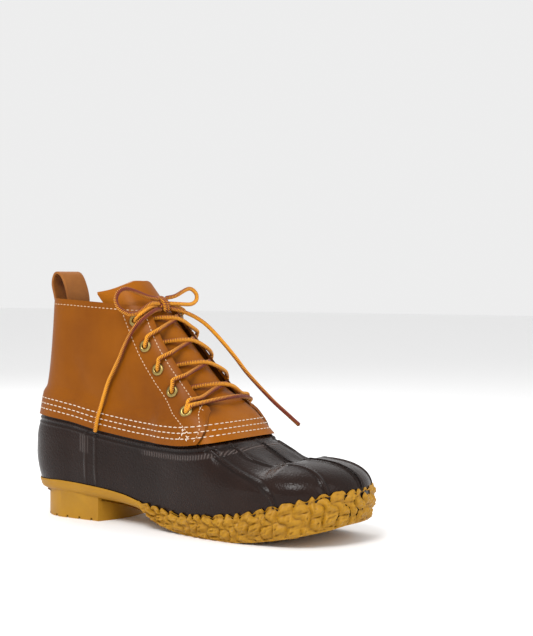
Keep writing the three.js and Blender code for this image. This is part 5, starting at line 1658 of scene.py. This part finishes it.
@dataclass
class Lacing:
    """The lace: crossings over the tongue, the bar at the last row, and the bow."""

    upper: Upper
    lace: float = 3.2
    lift: float = 1.2
    proud: float = 1.0
    knot: tuple = ((117.4, -3, 173.6), (121.6, -3, 168.7), (125.8, -3, 163.8))
    loop_lateral: tuple = (
        (121.3, -7.1, 172.6), (117.5, -15, 174.2), (113.6, -22, 177.3), (111.2, -28, 179.5), (109, -33.5, 180.5),
        (107, -38, 178.3), (105.9, -40, 173.9), (106.8, -41, 170.5), (109, -41, 166.6), (111.9, -39, 163.6),
        (114.9, -34, 161.3), (117.6, -27, 163), (121.5, -17, 169.2), (121.5, -7.1, 168.8))
    loop_medial: tuple = (
        (120.9, 0.85, 173.1), (124.3, 9, 174.8), (125.7, 17, 178.2), (125.9, 23, 180.1), (126.7, 27, 180),
        (128.2, 30, 177.3), (128.9, 31, 174.2), (129.3, 29, 170.6), (128.8, 23, 168.2), (126.9, 12, 168.5),
        (122.9, 0.85, 169.2))
    end_lateral: tuple = (
        (122.6, -6.85, 164.6), (125.3, -18.5, 163.6), (121.4, -31.4, 155.6), (115.5, -34, 147.1),
        (109.4, -35, 136.3), (105.3, -35.4, 127.9), (99.1, -35.8, 117), (94.3, -36, 108.4), (88.7, -37.8, 90.6),
        (85.7, -39, 79.8), (83.2, -38.6, 69.9))
    end_medial: tuple = (
        (125.2, 1.2, 165.4), (129, 10, 163.4), (135.4, 20, 158.4), (142.6, 26, 151.8), (152.8, 30, 140.8),
        (164.5, 33, 127.4), (174.7, 36, 114.4), (194.2, 39, 95.7), (206.7, 41, 85.4), (218.7, 42, 76.3))

    def point(self, along: float, y: float, lift: float) -> np.ndarray:
        """A point over the throat."""
        return self.upper.last.throat(along, y, lift)[0]

    def on_tongue(self, along: float, y: float, rise: float) -> np.ndarray:
        """A point that rests just clear of the tongue."""
        form = self.point(along, y, 0)
        level = float(self.upper.seams.tongue_outside(form[None, :])[0]) + self.lace / 2 + 0.6
        return self.point(along, y, level + rise)

    def out_of(self, row: int, side: int) -> list[np.ndarray]:
        """The lace's way out of an eyelet and over its ring.

        Args:
            row: the eyelet's row.
            side: its side.

        Returns:
            Points from inside the bore to just past the ring.
        """
        place, normal = self.upper.seams.eyelet(row, side)
        across = np.array([0, -side, 0.0])
        across -= normal * (across @ normal)
        across /= np.linalg.norm(across)
        steps = ((-1.0, -3.0), (-0.3, -0.2), (1.8, 1.9), (4.6, 2.6), (7.2, 2.4))
        return [place + across * a + normal * n for a, n in steps]

    def strand(self, row: int, side: int, arch: float) -> Tube:
        """A strand from an eyelet, over the quarter's edge and under the other edge."""
        s = self.upper.seams
        start = s.eyelet_along(row)

        def on(up: float, across: float, rise: float) -> np.ndarray:
            """A point over the tongue, by shares of the pitch and of the edge on that side."""
            along = start - s.pitch * up
            towards = side if across >= 0 else -side
            return self.on_tongue(along, towards * abs(across) * s.edge_half(along, towards), rise)

        steps = ((0.40, 0.45, 1.0), (0.53, -0.05, 0.9), (0.66, -0.45, 0.55))
        way = self.out_of(row, side)
        for k, point in enumerate(way[2:]):
            point -= self.upper.last.along * (0.4, 1.2, 2.2)[k]
        along = start - s.pitch * 0.22
        y = side * s.edge_half(along, side)
        form = self.point(along, y, 0)
        level = float(s.quarter_inside(form[None, :])[0]) + s.leather + self.lace / 2 + 0.3
        way.append(self.point(along, y * 0.97, level))
        way += [on(up, across, share * arch) for up, across, share in steps]
        way += [on(0.79, -0.80, 0.2), on(0.85, -1.0, -0.3), on(0.89, -1.14, -0.4)]
        return Tube(way, self.lace)

    def bar(self) -> Tube:
        """The bar outside between the last two eyelets."""
        s = self.upper.seams
        along = s.eyelet_along(s.rows)
        lateral, medial = self.out_of(s.rows, -1), self.out_of(s.rows, 1)
        for way in (lateral, medial):
            for k, point in enumerate(way[1:]):
                point += self.upper.last.along * (0.4, 1.0, 1.8, 2.2)[k]
        middle = [self.on_tongue(along + 2.0, side * 9.0, 2.4) for side in (-1, 1)]
        return Tube(lateral + middle + medial[::-1], self.lace)

    @staticmethod
    def gather(name: str, tubes: Sequence[Tube]) -> bpy.types.Mesh:
        """Several tubes in one mesh."""
        bm = bmesh.new()
        for tube in tubes:
            part = tube.mesh(name)
            bm.from_mesh(part)
            bpy.data.meshes.remove(part)
        mesh = bpy.data.meshes.new(name)
        bm.to_mesh(mesh)
        bm.free()
        return mesh

    def crossings(self) -> None:
        """The crossings between the rows, and the strands from the first row up to the knot."""
        rows = self.upper.seams.rows
        for row in range(rows, 1, -1):
            tubes = [self.strand(row, 1, 3.6), self.strand(row, -1, 1.2)]
            if row == rows:
                tubes.append(self.bar())
            number = rows + 1 - row
            Piece(f"crossing_{number}", self.gather("crossing", tubes), BRAID, "lace", (f"lace_cross_{number}",),
                  80).put()
        s = self.upper.seams
        along = s.eyelet_along(1)
        ties = []
        for side in (-1, 1):
            way = self.out_of(1, side)
            edge = s.edge_half(along - 4, side)
            way.append(self.point(along - 3.0, side * edge * 1.0, 2.2))
            way.append(self.on_tongue(along - 4.5, side * 4.5 - 2.0, 0.2))
            ties.append(Tube(way, self.lace))
        Piece("tie_strands", self.gather("ties", ties), BRAID, "lace", (), 80).put()

    def bow(self) -> None:
        """The knot, two loops and two free ends, as tubes of cord."""
        a, m, b = (np.array(p, float) for p in self.knot)
        way = (b - a) / np.linalg.norm(b - a)
        out = self.upper.last.out
        wraps = []
        for shift in (-1.7, 1.7):
            across = np.array([0, shift, 0])
            wraps.append(Tube([a + across - way * 0.4 - out * 1.6, a + across + out * 1.2 + way * 1.4,
                               m + across + out * 2.9, b + across + out * 1.2 - way * 1.4,
                               b + across + way * 0.4 - out * 1.6], self.lace))
        wraps.append(Tube([m + np.array([0, -5.2, 0]) - way * 2.2, m - way * 1.2 + out * 0.6,
                           m + np.array([0, 5.0, 0]) - way * 2.8], self.lace))
        wraps.append(Tube([m + np.array([0, -5.2, 0]) + way * 2.6, m + way * 1.2 + out * 0.6,
                           m + np.array([0, 5.0, 0]) + way * 2.2], self.lace))
        knot = Piece("bow_knot", self.gather("knot", wraps), BRAID, "lace", ("lace_knot",), 80).put()
        cords = (
            ("bow_loop_lateral", "lace_loop_lateral", self.loop_lateral, "knot"),
            ("bow_loop_medial", "lace_loop_medial", self.loop_medial, "knot"),
            ("bow_end_lateral", "lace_end_lateral", self.end_lateral, "bare"),
            ("bow_end_medial", "lace_end_medial", self.end_medial, "bare"),
        )
        for name, node, points, far_end in cords:
            tube = Tube(points, self.lace)
            piece = Piece(name, tube.mesh(name), BRAID, "lace", (node,), 80).put()
            line = to_row(tube.line())
            tube.length() * 0.001


@dataclass
class PullLoop:
    """The leather strap at the back of the collar."""

    last: Last
    width: float = 26.0
    leather: float = 2.0
    rise: float = 20.5
    reach: float = 18.0
    rows: tuple = ((0.045, -0.42), (-0.06, 0.02), (-0.19, 0.48), (-0.10, 0.83), (0.08, 0.93), (0.32, 0.82),
                   (0.53, 0.50), (0.69, 0.07), (0.72, -0.30), (0.58, -0.76), (0.42, -1.22), (0.36, -1.42))

    def piece(self) -> Piece:
        """The strap with softly rounded edges."""
        back = self.last.back_lean * 0.98 - self.leather
        line = through([(back + x * self.reach, 0, self.last.collar + z * self.rise) for x, z in self.rows], 90)
        tangent = np.gradient(line, axis=0)
        tangent /= np.linalg.norm(tangent, axis=1)[:, None]
        normal = np.cross(tangent, [0, 1, 0])
        half, thick, soft = self.width / 2, self.leather / 2, 0.6
        section = []
        for cy, cn, start in ((half - soft, thick - soft, 0), (-half + soft, thick - soft, 90),
                              (-half + soft, -thick + soft, 180), (half - soft, -thick + soft, 270)):
            for k in range(5):
                angle = math.radians(start + 22.5 * k)
                section.append((cy + soft * math.cos(angle), cn + soft * math.sin(angle)))
            if start in (0, 180):
                sign = 1 if start == 0 else -1
                section += [(sign * y, cn + sign * soft) for y in np.linspace(half * 0.8, -half * 0.8, 14)]
        ring = np.array(section + section[:1])
        places = (line[:, None, :] + ring[None, :, 0, None] * np.array([0, 1, 0])[None, None, :]
                  + ring[None, :, 1, None] * normal[:, None, :])
        caps = [np.repeat(line[k][None, None, :], len(ring), axis=1) for k in (0, -1)]
        places = np.concatenate([caps[0], places, caps[1]], axis=0)
        return Piece("pull_strap", Sheet.mesh("strap", places), LOOP_LEATHER, "loop", ("pull_loop",), 50)


@dataclass
class Studio:
    """Pale floor, soft lights and the photograph's camera."""

    azimuth: float = 36.9
    distance: float = 1114.0
    height: float = 188.0
    focal: float = 1461.0
    frame: int = 636
    sensor: float = 36.0
    yaw: float = -2.66
    pitch: float = 1.53
    shift_x: float = 4.0
    target_x: float = 150.0

    def camera(self) -> None:
        """A camera at the photograph's place."""
        turn = math.radians(self.azimuth)
        place = np.array([self.target_x + self.shift_x + self.distance * math.sin(turn),
                          -self.distance * math.cos(turn), self.height])
        facing, tilt = turn + math.radians(self.yaw), math.radians(self.pitch)
        forward = Vector((-math.sin(facing) * math.cos(tilt), math.cos(facing) * math.cos(tilt), -math.sin(tilt)))
        right = Vector((math.cos(facing), math.sin(facing), 0))
        up = right.cross(forward)
        basis = Matrix((right, up, -forward)).transposed().to_4x4()
        data = bpy.data.cameras.new("camera")
        data.sensor_fit = "VERTICAL"
        data.sensor_height = self.sensor
        data.lens = self.focal / self.frame * self.sensor
        data.clip_start = 0.01
        camera = bpy.data.objects.new("camera", data)
        camera.matrix_world = Matrix.Translation(Vector(to_row(place))) @ basis
        bpy.context.scene.collection.objects.link(camera)
        bpy.context.scene.camera = camera

    def light(self, name: str, place: Sequence[float], size: float, power: float) -> None:
        """An area light that faces the boot."""
        data = bpy.data.lights.new(name, "AREA")
        data.size = size
        data.energy = power
        lamp = bpy.data.objects.new(name, data)
        way = Vector((0, 0, 0.08)) - Vector(place)
        lamp.matrix_world = Matrix.Translation(Vector(place)) @ way.to_track_quat("-Z", "Y").to_matrix().to_4x4()
        bpy.context.scene.collection.objects.link(lamp)

    def build(self) -> None:
        """Sets floor, world, lights and view."""
        bm = bmesh.new()
        bmesh.ops.create_grid(bm, x_segments=1, y_segments=1, size=6.0)
        mesh = bpy.data.meshes.new("studio_floor")
        bm.to_mesh(mesh)
        bm.free()
        paint = bpy.data.materials.new("studio_white")
        paint.use_nodes = True
        paint.node_tree.nodes["Principled BSDF"].inputs["Base Color"].default_value = (0.93, 0.93, 0.93, 1)
        paint.node_tree.nodes["Principled BSDF"].inputs["Roughness"].default_value = 0.9
        mesh.materials.append(paint)
        floor = bpy.data.objects.new("studio_floor", mesh)
        bpy.context.scene.collection.objects.link(floor)
        world = bpy.data.worlds.new("studio")
        world.use_nodes = True
        world.node_tree.nodes["Background"].inputs["Color"].default_value = (1, 1, 1, 1)
        world.node_tree.nodes["Background"].inputs["Strength"].default_value = 0.85
        bpy.context.scene.world = world
        bpy.context.scene.view_settings.view_transform = "Standard"
        self.light("key", (0.25, -1.0, 1.2), 0.6, 15)
        self.light("fill", (1.2, -0.2, 0.7), 0.8, 3)
        self.light("rim", (-0.8, 0.5, 1.0), 0.7, 5)
        self.camera()


def main() -> None:
    """Builds the boot piece by piece."""
    logging.basicConfig(level=logging.INFO, format="%(name)s %(message)s")
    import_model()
    Studio().build()
    last = Last()
    upper = Upper(last, Seams(last))
    upper.shaft().put()
    upper.tongue().put()
    lacing = Lacing(upper)
    lacing.bow()
    lacing.crossings()
    upper.shell().put()
    upper.welts().put()
    upper.insole().put()
    Sole(last, upper).piece().put()
    PullLoop(last).piece().put()
    trim = Trim(upper)
    trim.eyelets()
    trim.band_seams()
    trim.facing_seams()
    trim.corner_tack()
    trim.collar_seam()
    bpy.context.view_layer.update()


if __name__ == "__main__":
    main()
